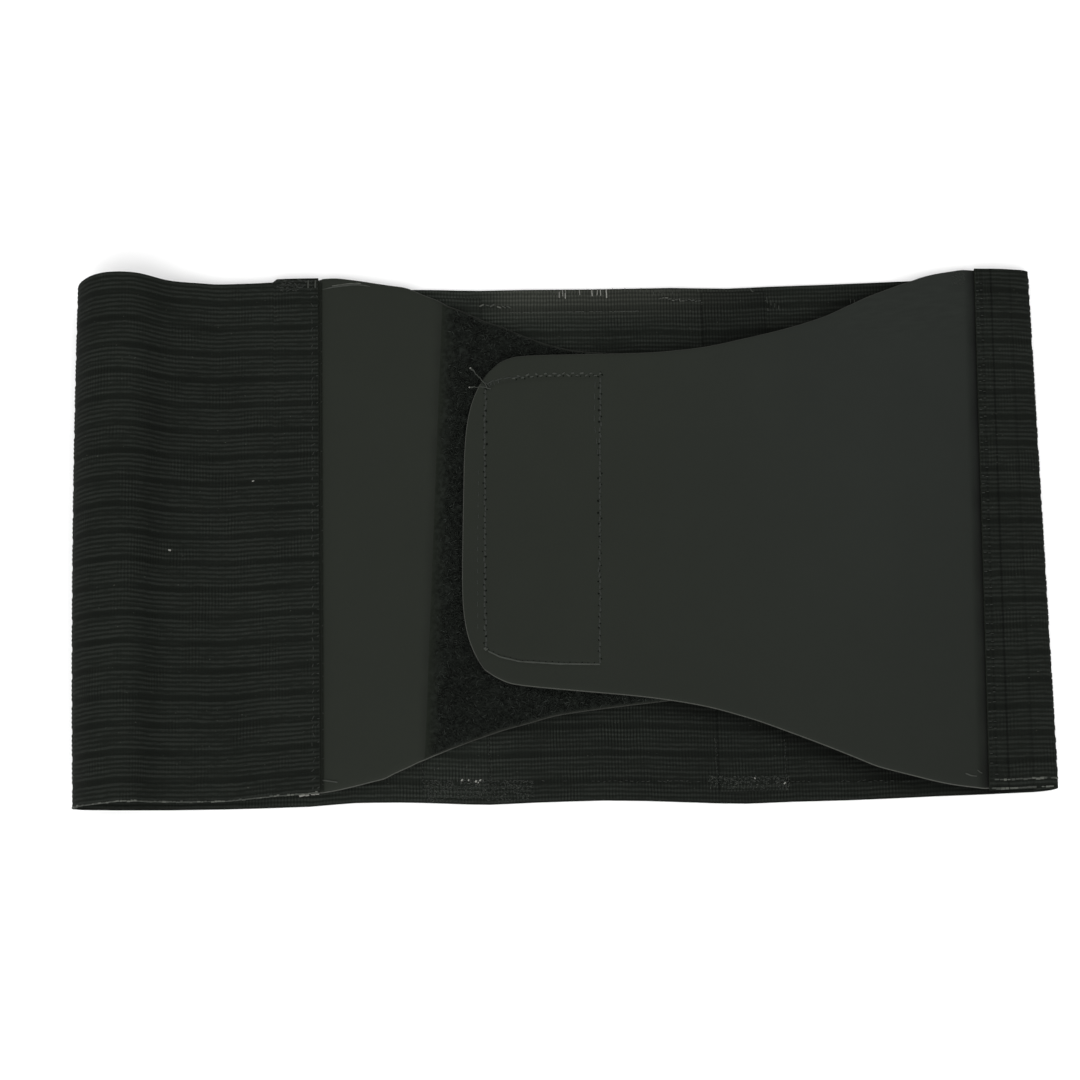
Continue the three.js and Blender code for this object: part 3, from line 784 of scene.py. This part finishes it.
def rib_relief(w):
    """How deep the weave dips at each height, mm: five ribs to a band, then a flat strip."""
    row = (w * 200 - 100 - FIRST_GROOVE) / RIB
    off = np.abs((row + 3) % 6 - 3)
    ribs = 0.5 - 0.5 * np.cos(2 * math.pi * row)
    flat = 1 - smooth(off, 0.4, 0.8)
    return RIB_DEPTH * lerp(ribs, 1.0, flat) + GROOVE_DEPTH * flat


def elastic_lines():
    """The heights of the mesh's lines in the weave: four to each rib."""
    step = RIB / 4
    lines = FIRST_GROOVE + step * np.arange(-18, 18 * 24 + 19)
    return (np.concatenate([[-100.0], lines, [100.0]]) + 100) / 200


def elastic_rows():
    """The row numbers of the mesh's sections."""
    q = []
    for i in range(elastic_table.last):
        n = 3 if 9 <= i <= 15 else 2
        q.extend(i + k / n for k in range(n))
    return np.array(q + [elastic_table.last])


def weave_to_height(q, w):
    """The share of the height where a place of the weave lies: the narrow strip is drawn together a little, and
    the fold in the hem at the front seam stands above the bands."""
    k = 1 + (STRIP_TIGHT - 1) * smooth(q, 36.0, 38.5)
    k = k + 0.0085 * (1 - smooth(q, 2.2, 3.2))
    hold = np.where(q < 10, 0.0, STRIP_HOLD)
    v = hold + (w - hold) / k
    v = np.where(w <= 0, 0.0, np.where(w >= 1, 1.0, v))
    return v, hold + (v - hold) * k


def build_elastic():
    q, w = elastic_rows()[:, None], elastic_lines()[None]
    v, w = weave_to_height(q, w)
    path = elastic_point(q, np.full_like(v[:, :1], 0.5), 0.0)[:, 0]
    s = np.concatenate([[0], np.cumsum(np.linalg.norm(np.diff(path, axis=0), axis=1))])
    relief = rib_relief(w) * (1 - 0.65 * smooth(q, 37.0, 38.0) * (1 - smooth(q, 41.5, 43.0)))
    tail = (s[-1] - s)[:, None]
    crease = 0.35 * np.exp(-(((tail - 4.6) / 0.9) ** 2)) + 0.12 * np.exp(-(((tail - 12.9) / 1.2) ** 2))
    outer = elastic_point(q, v, relief + crease)
    inner = elastic_point(q, v, ELASTIC_T - relief)
    uv = np.stack(np.broadcast_arrays(s[:, None], w * 200), -1)
    obj = closed_sheet("elastic_weave", outer, inner, uv, bead=0.16, rings=3)
    dress(obj, "ribbed_elastic", "elastic", "elastic_edge")
    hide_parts("elastic_band")
    return obj


elastic = build_elastic()

# ---- the stay casings ----


def back_weave(x, y):
    """Where a place over the belt's back lies in the elastic's weave, mm."""
    first, last = 24, 37
    q = np.linspace(first, last, 400)
    r = elastic_table.at(q)
    lo, hi = np.interp(x, r["x"], r["lo"]), np.interp(x, r["x"], r["hi"])
    return (y - lo) / (hi - lo) * 200


def build_casing(side):
    u = np.linspace(0, 1, 41)[:, None]
    v = np.linspace(0, 1, 449)[None]
    across = 2 * u - 1
    y = lerp(CASING_LO, CASING_HI, v)
    x = CASING_X[side] + across * CASING_WIDTH / 2
    weave = back_weave(x, y)
    ends = smooth(np.minimum(y - CASING_LO, CASING_HI - y), -1.0, 5.0)
    sides = smooth(1 - np.abs(across), -0.03, 0.17)
    height = (CASING_EDGE + (CASING_CROWN - CASING_EDGE) * np.maximum(0, 1 - across**4)) * np.minimum(ends, sides)
    seam = np.abs(np.abs(across) * CASING_WIDTH / 2 - 10.6)
    dip = (0.16 * np.exp(-((seam / 0.7) ** 2)) + 0.8 * rib_relief(weave / 200)) * np.minimum(ends, sides)
    top = stack(x, y, CASING_Z - 0.15 + height - dip)
    bottom = stack(x, y, np.full_like(x, CASING_Z - 0.25) + 0 * y)
    uv = np.stack(np.broadcast_arrays(x + 92.9 + 200, weave), -1)
    obj = closed_sheet(f"casing_{side}_cloth", top, bottom, uv, bead=0.05)
    dress(obj, "casing_tape", "casing", "casing")
    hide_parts(f"stay_casing_{side}")
    return obj


casings = {side: build_casing(side) for side in CASING_X}

# ---- the left panel ----


def left_point(q, v, w):
    r = left_table.at(q)
    y = lerp(r["lo"], r["hi"], v)
    return stack(r["x"] + r["lean"] * y + r["bow"] * bulge(v), y, r["z"] - r["t"] * (1 - w))


def build_left():
    q = np.linspace(0, left_table.last, left_table.last * 5 + 1)[:, None]
    v = np.linspace(0, 1, 121)[None]
    top, bottom = left_point(q, v, 1.0), left_point(q, v, 0.0)
    x, y = top[..., 0], top[..., 1]
    r = left_table.at(q)
    shown = smooth(x, -92, -84) * (1 - smooth(x, -54, -48))
    edge = np.minimum(y - r["lo"], r["hi"] - y)
    top[..., 2] -= 0.35 * np.exp(-((edge / 1.0) ** 2)) * shown
    top[..., 2] += 0.12 * shown * np.sin(x / 5.3 + y / 21.0) * np.sin(y / 17.0 + 1.3)
    uv = np.stack(np.broadcast_arrays(r["x"] + 92.9 + 0 * v, y + 100), -1)
    obj = closed_sheet("left_panel_cloth", top, bottom, uv, bead=0.35, rings=3)
    dress(obj, "smooth_panel", "left", "cut_left")
    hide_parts("left_panel")
    return obj


left = build_left()

# ---- the right panel and its tab ----


def right_xy(line):
    line = np.asarray(line, float)
    return right_place(line[:, 0], line[:, 1], 0.0)[:, :2]


def distance_to(line, u, y):
    """How far each place is from a polyline."""
    best = np.full(np.broadcast(u, y).shape, 1e9)
    for (a0, a1), (b0, b1) in zip(line[:-1], line[1:]):
        d0, d1 = b0 - a0, b1 - a1
        t = np.clip(((u - a0) * d0 + (y - a1) * d1) / (d0 * d0 + d1 * d1), 0, 1)
        best = np.minimum(best, np.hypot(u - a0 - t * d0, y - a1 - t * d1))
    return best


def build_right():
    rows = [0, 0.5, 1]
    for i in range(1, right_table.last):
        n = 6 if i < 9 else (8 if i < 14 else 10)
        rows.extend(i + (k + 1) / n for k in range(n))
    q = np.array(rows)[::-1][:, None]
    v = np.linspace(0, 1, 161)[None]
    r = right_table.at(q)
    y = lerp(r["lo"], r["hi"], v)
    u = r["u"] + r["bow"] * bulge(v)
    z = r["z"] + 0 * y
    line = distance_to(TAB_LINE, u, y)
    inside = (u > 147) & (u < 191.5) & (y > -55.5) & (y < 56.0)
    relief = -0.34 * np.exp(-((line / 0.9) ** 2))
    relief += np.where(inside, 0.22 * (1 - np.exp(-line / 5.0)), 0.05 * (1 - np.exp(-line / 4.0)) * smooth(u, 140, 150))
    edge = np.minimum(y - r["lo"], r["hi"] - y)
    relief -= 0.30 * np.exp(-((edge / 0.9) ** 2)) * smooth(u, 4, 12)
    relief += 0.14 * np.sin(u / 9.7 + y / 31.0) * np.sin(y / 23.0 + 0.7) * smooth(u, 8, 30) * (1 - smooth(u, 150, 165))
    top = right_place(u, y, z + relief)
    bottom = right_place(u, y, z - PANEL_T)
    uv = np.stack(np.broadcast_arrays(u, y + 100), -1)
    obj = closed_sheet("right_panel_cloth", top, bottom, uv, bead=0.35, rings=3)
    dress(obj, "smooth_panel", "right", "cut")
    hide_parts("right_panel")
    return obj


right = build_right()
right_ground = Ground(right)
left_ground = Ground(left)
elastic_ground = Ground(elastic)

# ---- the loop pile ----

PILE_FIRST = 11  # the left panel's first row right of -46.9


def build_pile():
    first = PILE_FIRST - 1.2
    u = np.linspace(0, 1, 141)[:, None]
    v = np.linspace(0, 1, 141)[None]
    r = left_table.at(first + u * (left_table.last - first))
    y = lerp(r["lo"] + LOOP_INSET * 0.4, r["hi"] - LOOP_INSET * 0.4, v)
    x = r["x"] + r["lean"] * y + r["bow"] * bulge(v) - LOOP_INSET * 0.6 * u
    rough = 0.10 * np.sin(x * 2.1 + np.sin(y * 1.3)) * np.sin(y * 1.9 + 0.8 * np.sin(x * 0.9))
    shown = 1 - smooth(x, 10, 20)
    nap = LOOP_Z + LOOP_T - shown * (0.42 + rough)
    skin = r["z"] + lerp(-0.16, 0.03, smooth(r["x"], -50.3, -48.6))
    top = stack(x, y, lerp(skin, np.maximum(nap, skin), smooth(r["x"], -49.5, -44.0)))
    bottom = stack(x, y, np.minimum(LOOP_Z, top[..., 2] - 0.3))
    uv = np.stack(np.broadcast_arrays(r["x"] + 100 + 0 * y, y + 100), -1)
    obj = closed_sheet("loop_pile_ground", top, bottom, uv, bead=0.1)
    dress(obj, "loop_pile", "pile", "pile")
    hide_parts("loop_patch")
    return obj


pile = build_pile()
pile_ground = Ground(pile)


def build_loops(count=5600):
    """Brushed loops where the pile shows, and a little way under the tab."""
    batch, paths, light = Batch(), [], []
    while len(paths) < count:
        x, y = RNG.uniform(-52, 44), RNG.uniform(-84, 98)
        z = pile_ground.z(x, y)
        if z is None or RNG.random() > smooth(x - 0.051 * y, -47.5, -41.0):
            continue
        if all(right_ground.z(x + dx, y + dy) is not None for dx, dy in ((5, 0), (-5, 0), (0, 5), (0, -5))):
            continue
        covered = right_ground.z(x, y) is not None
        turn = RNG.uniform(0, 2 * math.pi)
        wide, tall = RNG.uniform(0.45, 1.0), RNG.uniform(0.45, 0.9) * (0.45 if covered else 1.0)
        t = np.linspace(-1, 1, 5)
        side = RNG.normal(0, 0.3)
        px = t * wide * (1 + 0.25 * (1 - t * t))
        py = side * (1 - t * t)
        c, s = math.cos(turn), math.sin(turn)
        paths.append(np.column_stack([x + px * c - py * s, y + px * s + py * c, z - 0.12 + tall * (1 - t * t)]))
        light.append(RNG.random() < 0.15)
    paths, light = np.array(paths), np.array(light)
    radius = RNG.uniform(0.11, 0.20, (len(paths), 1))
    batch.tubes(paths[~light], radius[~light], 3, 0)
    batch.tubes(paths[light], radius[light] * 0.9, 3, 1)
    obj = batch.build("pile_loops")
    return dress(obj, "loop_pile", "loops", "loops_light")


loops = build_loops()

# ---- the hook tape under the tab ----


def build_hooks():
    u = np.linspace(0, 1, 25)[:, None]
    v = np.linspace(0, 1, 61)[None]
    reach = lerp(191.0, 149.0, u)
    corner = smooth(reach, 180.0, 191.0)
    y = lerp(-54.6 + 4.4 * corner, 55.2 - 4.4 * corner, v)
    top = right_place(reach, y, HOOK_Z + HOOK_T + 0 * y)
    bottom = right_place(reach, y, HOOK_Z + 0.3 + 0 * y)
    uv = np.stack(np.broadcast_arrays(reach, y + 100), -1)
    obj = closed_sheet("hook_tape_base", top, bottom, uv, bead=0.2)
    dress(obj, "hook_tape", "hook", "hook")
    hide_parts("hook_patch")
    batch, paths = Batch(), []
    for a in np.arange(150.2, 190.0, 1.9):
        for b in np.arange(-53.0, 53.8, 1.9):
            if a > 184 and abs(b) > 50:
                continue
            p = right_place(np.array([a, a, a + 0.15, a + 0.5]), np.full(4, b), np.array([HOOK_Z + 0.35, HOOK_Z + 0.12, HOOK_Z + 0.04, HOOK_Z + 0.16]))
            paths.append(p)
    batch.tubes(np.array(paths), 0.11, 3)
    return obj, dress(batch.build("hook_tape_hooks"), "hook_tape", "hook")


hook, hooks = build_hooks()

# ---- stitching ----


def sprinkle(batch, ground, places, length, radius, slot, turn=0.0, lift=0.12, wild=0.5):
    """Short bits of thread lying on a surface at the given places."""
    paths = []
    for x, y in places:
        a = turn + RNG.normal(0, wild)
        half = length * RNG.uniform(0.35, 0.65)
        t = np.linspace(-1, 1, 4)
        xy = np.column_stack([x + t * half * math.cos(a), y + t * half * math.sin(a)])
        z = max(ground.z(x, y, 0.0), 0.0)
        paths.append(np.column_stack([xy, z + lift + 0.1 * (1 - t * t)]))
    if paths:
        batch.tubes(np.array(paths), RNG.uniform(0.75, 1.25, (len(paths), 1)) * radius, 5, slot)


def holes(batch, ground, line, pitch, radius, slot, wander=0.1):
    """Painted shade in needle holes along a line: small dark dents."""
    for x, y in resample(line, step=pitch):
        sprinkle(batch, ground, [(x + RNG.normal(0, wander), y + RNG.normal(0, wander))], 0.35, radius, slot, lift=-0.14, wild=2.0)


def on_ground(ground, line, lift, step=0.6):
    return ground.lay(resample(line, step=step), lift)


def lumpy(count, base, spread):
    """A thread's radius along its length, uneven."""
    k = RNG.uniform(1 - spread, 1 + spread, count)
    return base * np.convolve(np.pad(k, 1, "edge"), [0.25, 0.5, 0.25], "valid")


def build_tab_stitches():
    batch = Batch()
    curve = [(191.7, 52.6), (187.6, 54.6), (183.6, 55.2), (178.0, 55.8)]
    stitch_line(batch, right_ground, right_xy(curve), 3.4, 0.9, 0.30, slant=0.15)
    zigzag = resample([(181.0, 55.5), (170.8, 56.6), (159.1, 57.0), (147.5, 57.0)], step=1.75)
    zigzag = zigzag + np.column_stack([np.zeros(len(zigzag)), np.where(np.arange(len(zigzag)) % 2, 0.40, -0.40)])
    sprinkle(batch, right_ground, right_xy(zigzag), 1.1, 0.36, 1, lift=0.0, wild=0.35)
    holes(batch, right_ground, right_xy(zigzag - [0.9, 0.55]), 1.8, 0.26, 3)
    for line, radius in (
        ([(147.4, 56.0), (147.3, 26.8), (147.2, -16.1), (147.0, -55.6)], 0.40),
        ([(190.4, -50.0), (191.3, -12.6), (191.8, 26.4), (191.9, 51.0)], 0.42),
    ):
        stitch_line(batch, right_ground, right_xy(line), 2.19, 0.80, radius * 1.30, sink=0.45, lift=-0.16, wander=0.20)
        side = 0.75 if line[0][0] < 160 else -0.75
        holes(batch, right_ground, right_xy(np.array(line) + [side * 0.6, 0.0]), 4.38, 0.36, 3, wander=0.2)
        holes(batch, right_ground, right_xy(np.array(line) + [-side * 0.6, 2.1]), 4.38, 0.26, 3, wander=0.2)
    stitch_line(batch, right_ground, right_xy([(149.4, 55.0), (149.6, 38.0), (148.2, 24.0)]), 4.38, 0.6, 0.24, lift=0.04)
    stitch_line(batch, right_ground, right_xy([(193.4, -44.0), (194.0, -10.0), (194.2, 20.0)]), 4.38, 0.5, 0.20, lift=0.02)
    low = resample([(147.0, -55.8), (162.1, -55.8), (177.3, -55.1), (184.9, -53.4), (189.4, -51.2)], step=0.8)
    path = right_ground.lay(right_xy(low), 0.0)
    batch.tubes(path, lumpy(len(path), 0.36, 0.45), 6, 1)
    holes(batch, right_ground, right_xy(low + [0.0, 0.62]), 2.3, 0.20, 3)
    sprinkle(batch, right_ground, right_xy([(190.6, -50.2), (190.1, -50.6)]), 1.0, 0.42, 1)
    corner = np.column_stack([RNG.uniform(156.5, 162.0, 26), RNG.uniform(97.5, 102.6, 26)])
    sprinkle(batch, right_ground, corner, 0.9, 0.17, 0, lift=0.0, turn=-0.6, wild=0.5)
    for arc in ([(150.7, -93.6), (152.6, -94.5), (154.8, -94.8)], [(155.3, -92.5), (156.2, -93.3), (157.1, -93.7)]):
        path = right_ground.lay(resample(arc, step=0.5), 0.05)
        batch.tubes(path, lumpy(len(path), 0.24, 0.4), 5, 1)
    knot = right_xy([(190.6, 52.2), (192.6, 51.8), (191.6, 53.0), (189.8, 52.9), (188.6, 53.4), (187.0, 54.0)])
    sprinkle(batch, right_ground, knot, 1.6, 0.30, 0, lift=0.05, wild=1.2)
    for tail in (
        [(-27.1, 58.8, 9.3), (-28.6, 61.2, 9.4), (-30.4, 63.6, 8.0), (-32.2, 65.9, 6.9), (-33.5, 67.4, 6.6)],
        [(-25.6, 58.2, 9.3), (-27.6, 58.8, 9.4), (-30.0, 59.2, 8.8), (-32.2, 59.6, 7.2), (-34.0, 59.7, 6.6)],
    ):
        path = resample(tail, count=16)
        path[2:-2, :2] += RNG.normal(0, 0.14, (12, 2))
        batch.tubes(path, np.concatenate([np.full(12, 0.19), [0.24, 0.32, 0.36, 0.28]]), 6, 1)
        end = path[-1] + [[-0.3, 0, 0], [0, 0, 0.1], [0.3, 0, 0]]
        batch.tubes(end, [[0.2, 0.34, 0.2]], 6, 2)
    obj = batch.build("tab_stitching")
    return dress(obj, None, "thread", "thread_light", "white", "hole")


def build_left_stitches():
    """The left front seam: its topstitching, the tacks at its two ends and the whitish hem line."""
    batch = Batch()
    for y in np.arange(-93.5, 103.0, 3.3):
        x = -95.4 + RNG.normal(0, 0.15)
        sprinkle(batch, elastic_ground, [(x, y)], 1.5, 0.17, 0, turn=1.3, lift=-0.05, wild=0.35)
    for y in np.arange(-92.0, 100.0, 5.1):
        if RNG.random() < 0.75:
            sprinkle(batch, elastic_ground, [(-93.5, y + RNG.normal(0, 0.8))], 0.8, 0.17, 0, turn=0.2, lift=0.0)
            sprinkle(batch, left_ground, [(-91.8, y + RNG.normal(0, 0.8))], 0.7, 0.14, 0, turn=0.0, lift=0.05)
    for x in (-96.9, -94.1):
        batch.tubes(on_ground(elastic_ground, [(x, 101.6), (x + 0.1, 104.6)], 0.12), 0.36, 5, 1)
    batch.tubes(on_ground(left_ground, [(-92.0, -90.7), (-86.4, -91.6)], 0.10), 0.32, 5, 1)
    hem = [(-91.6, 101.0), (-89.8, 101.2), (-87.8, 101.5), (-85.5, 101.8), (-82.9, 102.1), (-80.4, 102.3), (-77.8, 102.4), (-75.2, 102.1), (-72.5, 101.5)]
    path = on_ground(left_ground, hem, 0.02)
    batch.tubes(path, lumpy(len(path), 0.30, 0.5) * np.interp(path[:, 0], [-91.6, -90, -88, -76, -72.5], [0.5, 0.5, 1.1, 1.1, 0.4]), 5, 1)
    near = path[(path[:, 0] > -88) & (path[:, 0] < -76)] + [0.0, 0.55, 0.02]
    batch.tubes(near, lumpy(len(near), 0.22, 0.6), 5, 2)
    for x, y, size in ((-100.1, -96.0, 0.50), (-98.2, -96.0, 0.42), (-96.0, -95.8, 0.48), (-94.4, -95.7, 0.36)):
        sprinkle(batch, elastic_ground, [(x, y)], 1.7, size, 3, turn=0.1, lift=0.0, wild=0.1)
    bump = np.column_stack([RNG.uniform(-109.0, -95.5, 60), RNG.uniform(100.6, 105.2, 60)])
    sprinkle(batch, elastic_ground, bump, 1.0, 0.17, 0, lift=0.05, wild=0.4)
    sprinkle(batch, elastic_ground, [(-118.4, 24.7), (-149.2, -2.6)], 0.8, 0.30, 3, lift=0.1)
    obj = batch.build("left_seam_stitches")
    return dress(obj, None, "thread", "thread_light", "thread_pale", "white")


def edge_beads(batch, q0, q1, v, pitch, radius, depth=0.35, slots=(0, 1), shares=(0.7, 0.3), drop=0.0):
    """A binding of short light threads along a line of the elastic."""
    q = np.linspace(q0, q1, 600)
    line = elastic_point(q, np.full_like(q, v), depth) + [0.0, drop, 0.0]
    line = resample(line, step=pitch)
    t = np.linspace(-1, 1, 4)[:, None]
    for a, b in zip(line[:-1], line[1:]):
        if RNG.random() < 0.10:
            continue
        half = (b - a) / 2 * RNG.uniform(0.55, 1.1)
        mid = (a + b) / 2 + RNG.normal(0, 0.09, 3)
        slot = slots[0] if RNG.random() < shares[0] else slots[1]
        batch.tubes(mid + t * half, radius * RNG.uniform(0.7, 1.25), 5, slot)


def build_elastic_stitches():
    """Light threads of the elastic's own edges: the front selvedge, the strip's hem and its seam, and the back's top
    hem; and a painted highlight of short light tubes along the right fold's crease.
    """
    batch = Batch()
    for q0, q1, size in ((0.1, 9.0, 0.36), (9.0, 15.5, 0.34), (15.5, 19.2, 0.28)):
        q = np.linspace(q0, q1, 120)
        line = resample(elastic_point(q, np.full_like(q, 0.0012), 0.30), step=0.9)
        batch.tubes(line, lumpy(len(line), size * 0.9, 0.5), 5, 4)
        edge_beads(batch, q0, q1, 0.0014, 1.3, size, depth=0.22, slots=(4, 0), shares=(0.45, 0.55))
    last = elastic_table.last
    edge_beads(batch, last - 0.25, last - 4.6, 0.0195, 1.5, 0.42, depth=0.15, slots=(0, 4), shares=(0.45, 0.55))
    edge_beads(batch, last - 0.1, last - 3.6, 0.0035, 1.7, 0.38, depth=0.25, slots=(4, 0), shares=(0.65, 0.35))
    for k in np.arange(0.03, 0.985, 0.0165):
        for off, size in ((0.12, 0.24), (0.34, 0.22)):
            if RNG.random() < 0.85:
                a = elastic_point(np.array([last - off - 0.06, last - off + 0.06]), np.array([k, k]) + RNG.normal(0, 0.002), -0.02)
                batch.tubes(resample(a, count=3), size * 0.8 * RNG.uniform(0.7, 1.2), 5, 3)
    # Painted highlight: short light tubes along the crease at the right fold's outer edge.
    fold_highlight_q = last - 4.65
    for k in np.arange(0.02, 0.985, 0.011):
        if RNG.random() < 0.8:
            a = elastic_point(np.array([fold_highlight_q, fold_highlight_q]), np.array([k, k + 0.0085]), -0.03)
            batch.tubes(resample(a, count=3), 0.13 * RNG.uniform(0.7, 1.3), 5, 3)
    hem = [(41.7, 95.1), (50.0, 94.4), (57.5, 94.1), (68.0, 93.6), (83.2, 93.3)]
    for x, y in resample(hem, step=1.3):
        sprinkle(batch, elastic_ground, [(x, y + RNG.normal(0, 0.25))], 1.0, 0.24, 4 if RNG.random() < 0.6 else 0, lift=0.15, wild=0.3)
    for x, y in resample([(77.5, 98.4), (79.4, 96.0), (78.6, 94.6), (81.4, 93.4), (81.2, 91.6), (84.2, 89.8)], step=0.9):
        sprinkle(batch, elastic_ground, [(x, y)], 1.0, 0.22, 4, turn=-0.8, lift=0.1, wild=0.3)
    for x0, x1, y0, y1, step in ((84.0, 89.5, 93.7, 89.8, 1.5), (117.0, 126.5, 92.6, 89.6, 1.6)):
        for x in np.arange(x0, x1, step):
            y = np.interp(x, [x0, x1], [y0, y1])
            sprinkle(batch, elastic_ground, [(x, y)], 1.9, 0.15, 4, turn=1.57, lift=0.08, wild=0.12)
    for x in np.arange(-18.5, 33.0, 0.9):
        y = 90.9 - 0.012 * (x + 18)
        if RNG.random() < 0.7:
            sprinkle(batch, elastic_ground, [(x, y)], 0.8, 0.17, 4, lift=0.08, wild=0.15)
    for x, y, size in ((-33.6, 94.6, 0.26), (-30.6, 94.4, 0.24), (-28.8, 93.9, 0.32), (-26.6, 93.9, 0.28), (-24.6, 93.8, 0.28), (-22.0, 93.1, 0.32), (-20.0, 93.1, 0.24), (-18.2, 93.1, 0.30)):
        sprinkle(batch, elastic_ground, [(x, y)], 1.5, size, 0 if size > 0.3 else 4, lift=0.5, wild=0.35)
    for x, y, size in ((1.9, 97.8, 0.20), (4.3, 97.9, 0.26), (3.3, 98.4, 0.18), (14.9, 98.1, 0.26), (17.0, 98.3, 0.20), (18.3, 98.4, 0.18), (20.6, 97.8, 0.26), (10.0, 98.6, 0.15)):
        sprinkle(batch, elastic_ground, [(x, y)], 2.7, size, 2, turn=1.57, lift=0.0, wild=0.06)
    for x in np.arange(-22.0, 58.0, 1.25):
        if RNG.random() < 0.55:
            sprinkle(batch, elastic_ground, [(x, RNG.normal(98.4, 0.4))], 1.4, 0.13, 4, turn=1.57, lift=0.0, wild=0.1)
    obj = batch.build("elastic_stitches")
    return dress(obj, None, "thread_pale", "white", "white", "thread", "thread_light")


def build_casing_tacks():
    """The zigzag rows that hold the casings at the back's lower hem."""
    batch = Batch()
    for x0, x1, y0, y1, count in ((-53.0, -12.5, -91.6, -99.6, 430), (54.0, 84.5, -92.4, -97.4, 190)):
        for _ in range(count):
            x, t = RNG.uniform(x0, x1), RNG.random() ** 1.4
            y = lerp(y0, y1, t) - 0.022 * (x - x0)
            sprinkle(batch, tack_ground, [(x, y)], 0.75, 0.15, 0 if RNG.random() < 0.88 else 1, lift=0.0, wild=0.9)
    for x, y, size in ((-39.5, -91.8, 0.42), (-37.0, -91.9, 0.45), (-34.2, -92.4, 0.50), (-32.6, -92.0, 0.42), (-33.4, -92.9, 0.34), (71.3, -93.6, 0.40), (82.6, -95.7, 0.40), (-48.4, -87.2, 0.24), (-49.9, -87.6, 0.22)):
        sprinkle(batch, tack_ground, [(x, y)], 0.65, size * 0.72, 2 if size > 0.3 else 1, turn=1.2, lift=0.0, wild=0.5)
    for x0, y0, y1 in ((57.1, -78.5, -96.0), (83.4, -79.5, -97.0), (-54.2, -77.0, -98.0), (-28.7, -77.5, -99.0)):
        for y in np.arange(y0, y1, -2.4):
            sprinkle(batch, tack_ground, [(x0 + RNG.normal(0, 0.3), y), (x0 + RNG.normal(0, 0.3), y - 1.2)], 0.9, 0.14, 0, turn=1.57, lift=0.02, wild=0.5)
    for x in np.arange(-55.0, 130.0, 2.1):
        y = -91.9 - 0.0225 * (x + 51.7)
        if RNG.random() < 0.7:
            sprinkle(batch, tack_ground, [(x, y + RNG.normal(0, 0.2))], 1.1, 0.13, 0, lift=-0.03, wild=0.2)
    obj = batch.build("casing_tacks")
    return dress(obj, None, "thread", "thread_light", "white")


class BackGround:
    """The back's upper side with the casings on it."""

    def __init__(self):
        self.grounds = [elastic_ground] + [Ground(obj) for obj in casings.values()]

    def z(self, x, y, default=None):
        return max(g.z(x, y, 0.0) for g in self.grounds)


tack_ground = BackGround()
tab_stitches = build_tab_stitches()
left_stitches = build_left_stitches()
elastic_stitches = build_elastic_stitches()
casing_tacks = build_casing_tacks()

# ---- floor, light, camera ----


def build_floor():
    size = 3.0
    mesh = bpy.data.meshes.new("floor")
    mesh.from_pydata([(-size, -size, -0.0002), (size, -size, -0.0002), (size, size, -0.0002), (-size, size, -0.0002)], [], [(0, 1, 2, 3)])
    obj = bpy.data.objects.new("floor", mesh)
    bpy.context.scene.collection.objects.link(obj)
    p = Paint("floor", roughness=0.9, specular=0.1)
    tone = p.math("MULTIPLY_ADD", p.noise(3, 2), 0.02, 0.9)
    mesh.materials.append(p.finish(p.times((1.0, 1.0, 1.0), tone)))


def build_light():
    world = bpy.data.worlds.new("studio")
    world.use_nodes = True
    world.node_tree.nodes["Background"].inputs[0].default_value = (1.0, 1.0, 1.0, 1.0)
    world.node_tree.nodes["Background"].inputs[1].default_value = 0.95
    bpy.context.scene.world = world
    for name, place, size, power in (
        ("key", (-0.15, -1.0, 1.05), 1.4, 17.0),
        ("fill", (0.3, 0.6, 1.3), 1.6, 5.0),
    ):
        data = bpy.data.lights.new(name, "AREA")
        data.shape = "SQUARE"
        data.size = size
        data.energy = power
        lamp = bpy.data.objects.new(name, data)
        lamp.location = place
        lamp.rotation_mode = "QUATERNION"
        lamp.rotation_quaternion = (-Vector(place)).to_track_quat("-Z", "Y")
        bpy.context.scene.collection.objects.link(lamp)


def build_camera():
    data = bpy.data.cameras.new("camera")
    data.sensor_width = 36.0
    data.lens = 61.1
    data.clip_start, data.clip_end = 0.01, 20.0
    cam = bpy.data.objects.new("camera", data)
    axes = Matrix(((0.99974, -0.02269, 0.0), (0.02240, 0.98702, 0.15902), (-0.00361, -0.15898, 0.98728)))
    place = axes.transposed().to_4x4()
    place.translation = Vector((-0.01081, -0.11439, 0.702))
    cam.matrix_world = place
    bpy.context.scene.collection.objects.link(cam)
    bpy.context.scene.camera = cam


build_floor()
build_light()
build_camera()
bpy.context.scene.view_settings.view_transform = "Standard"
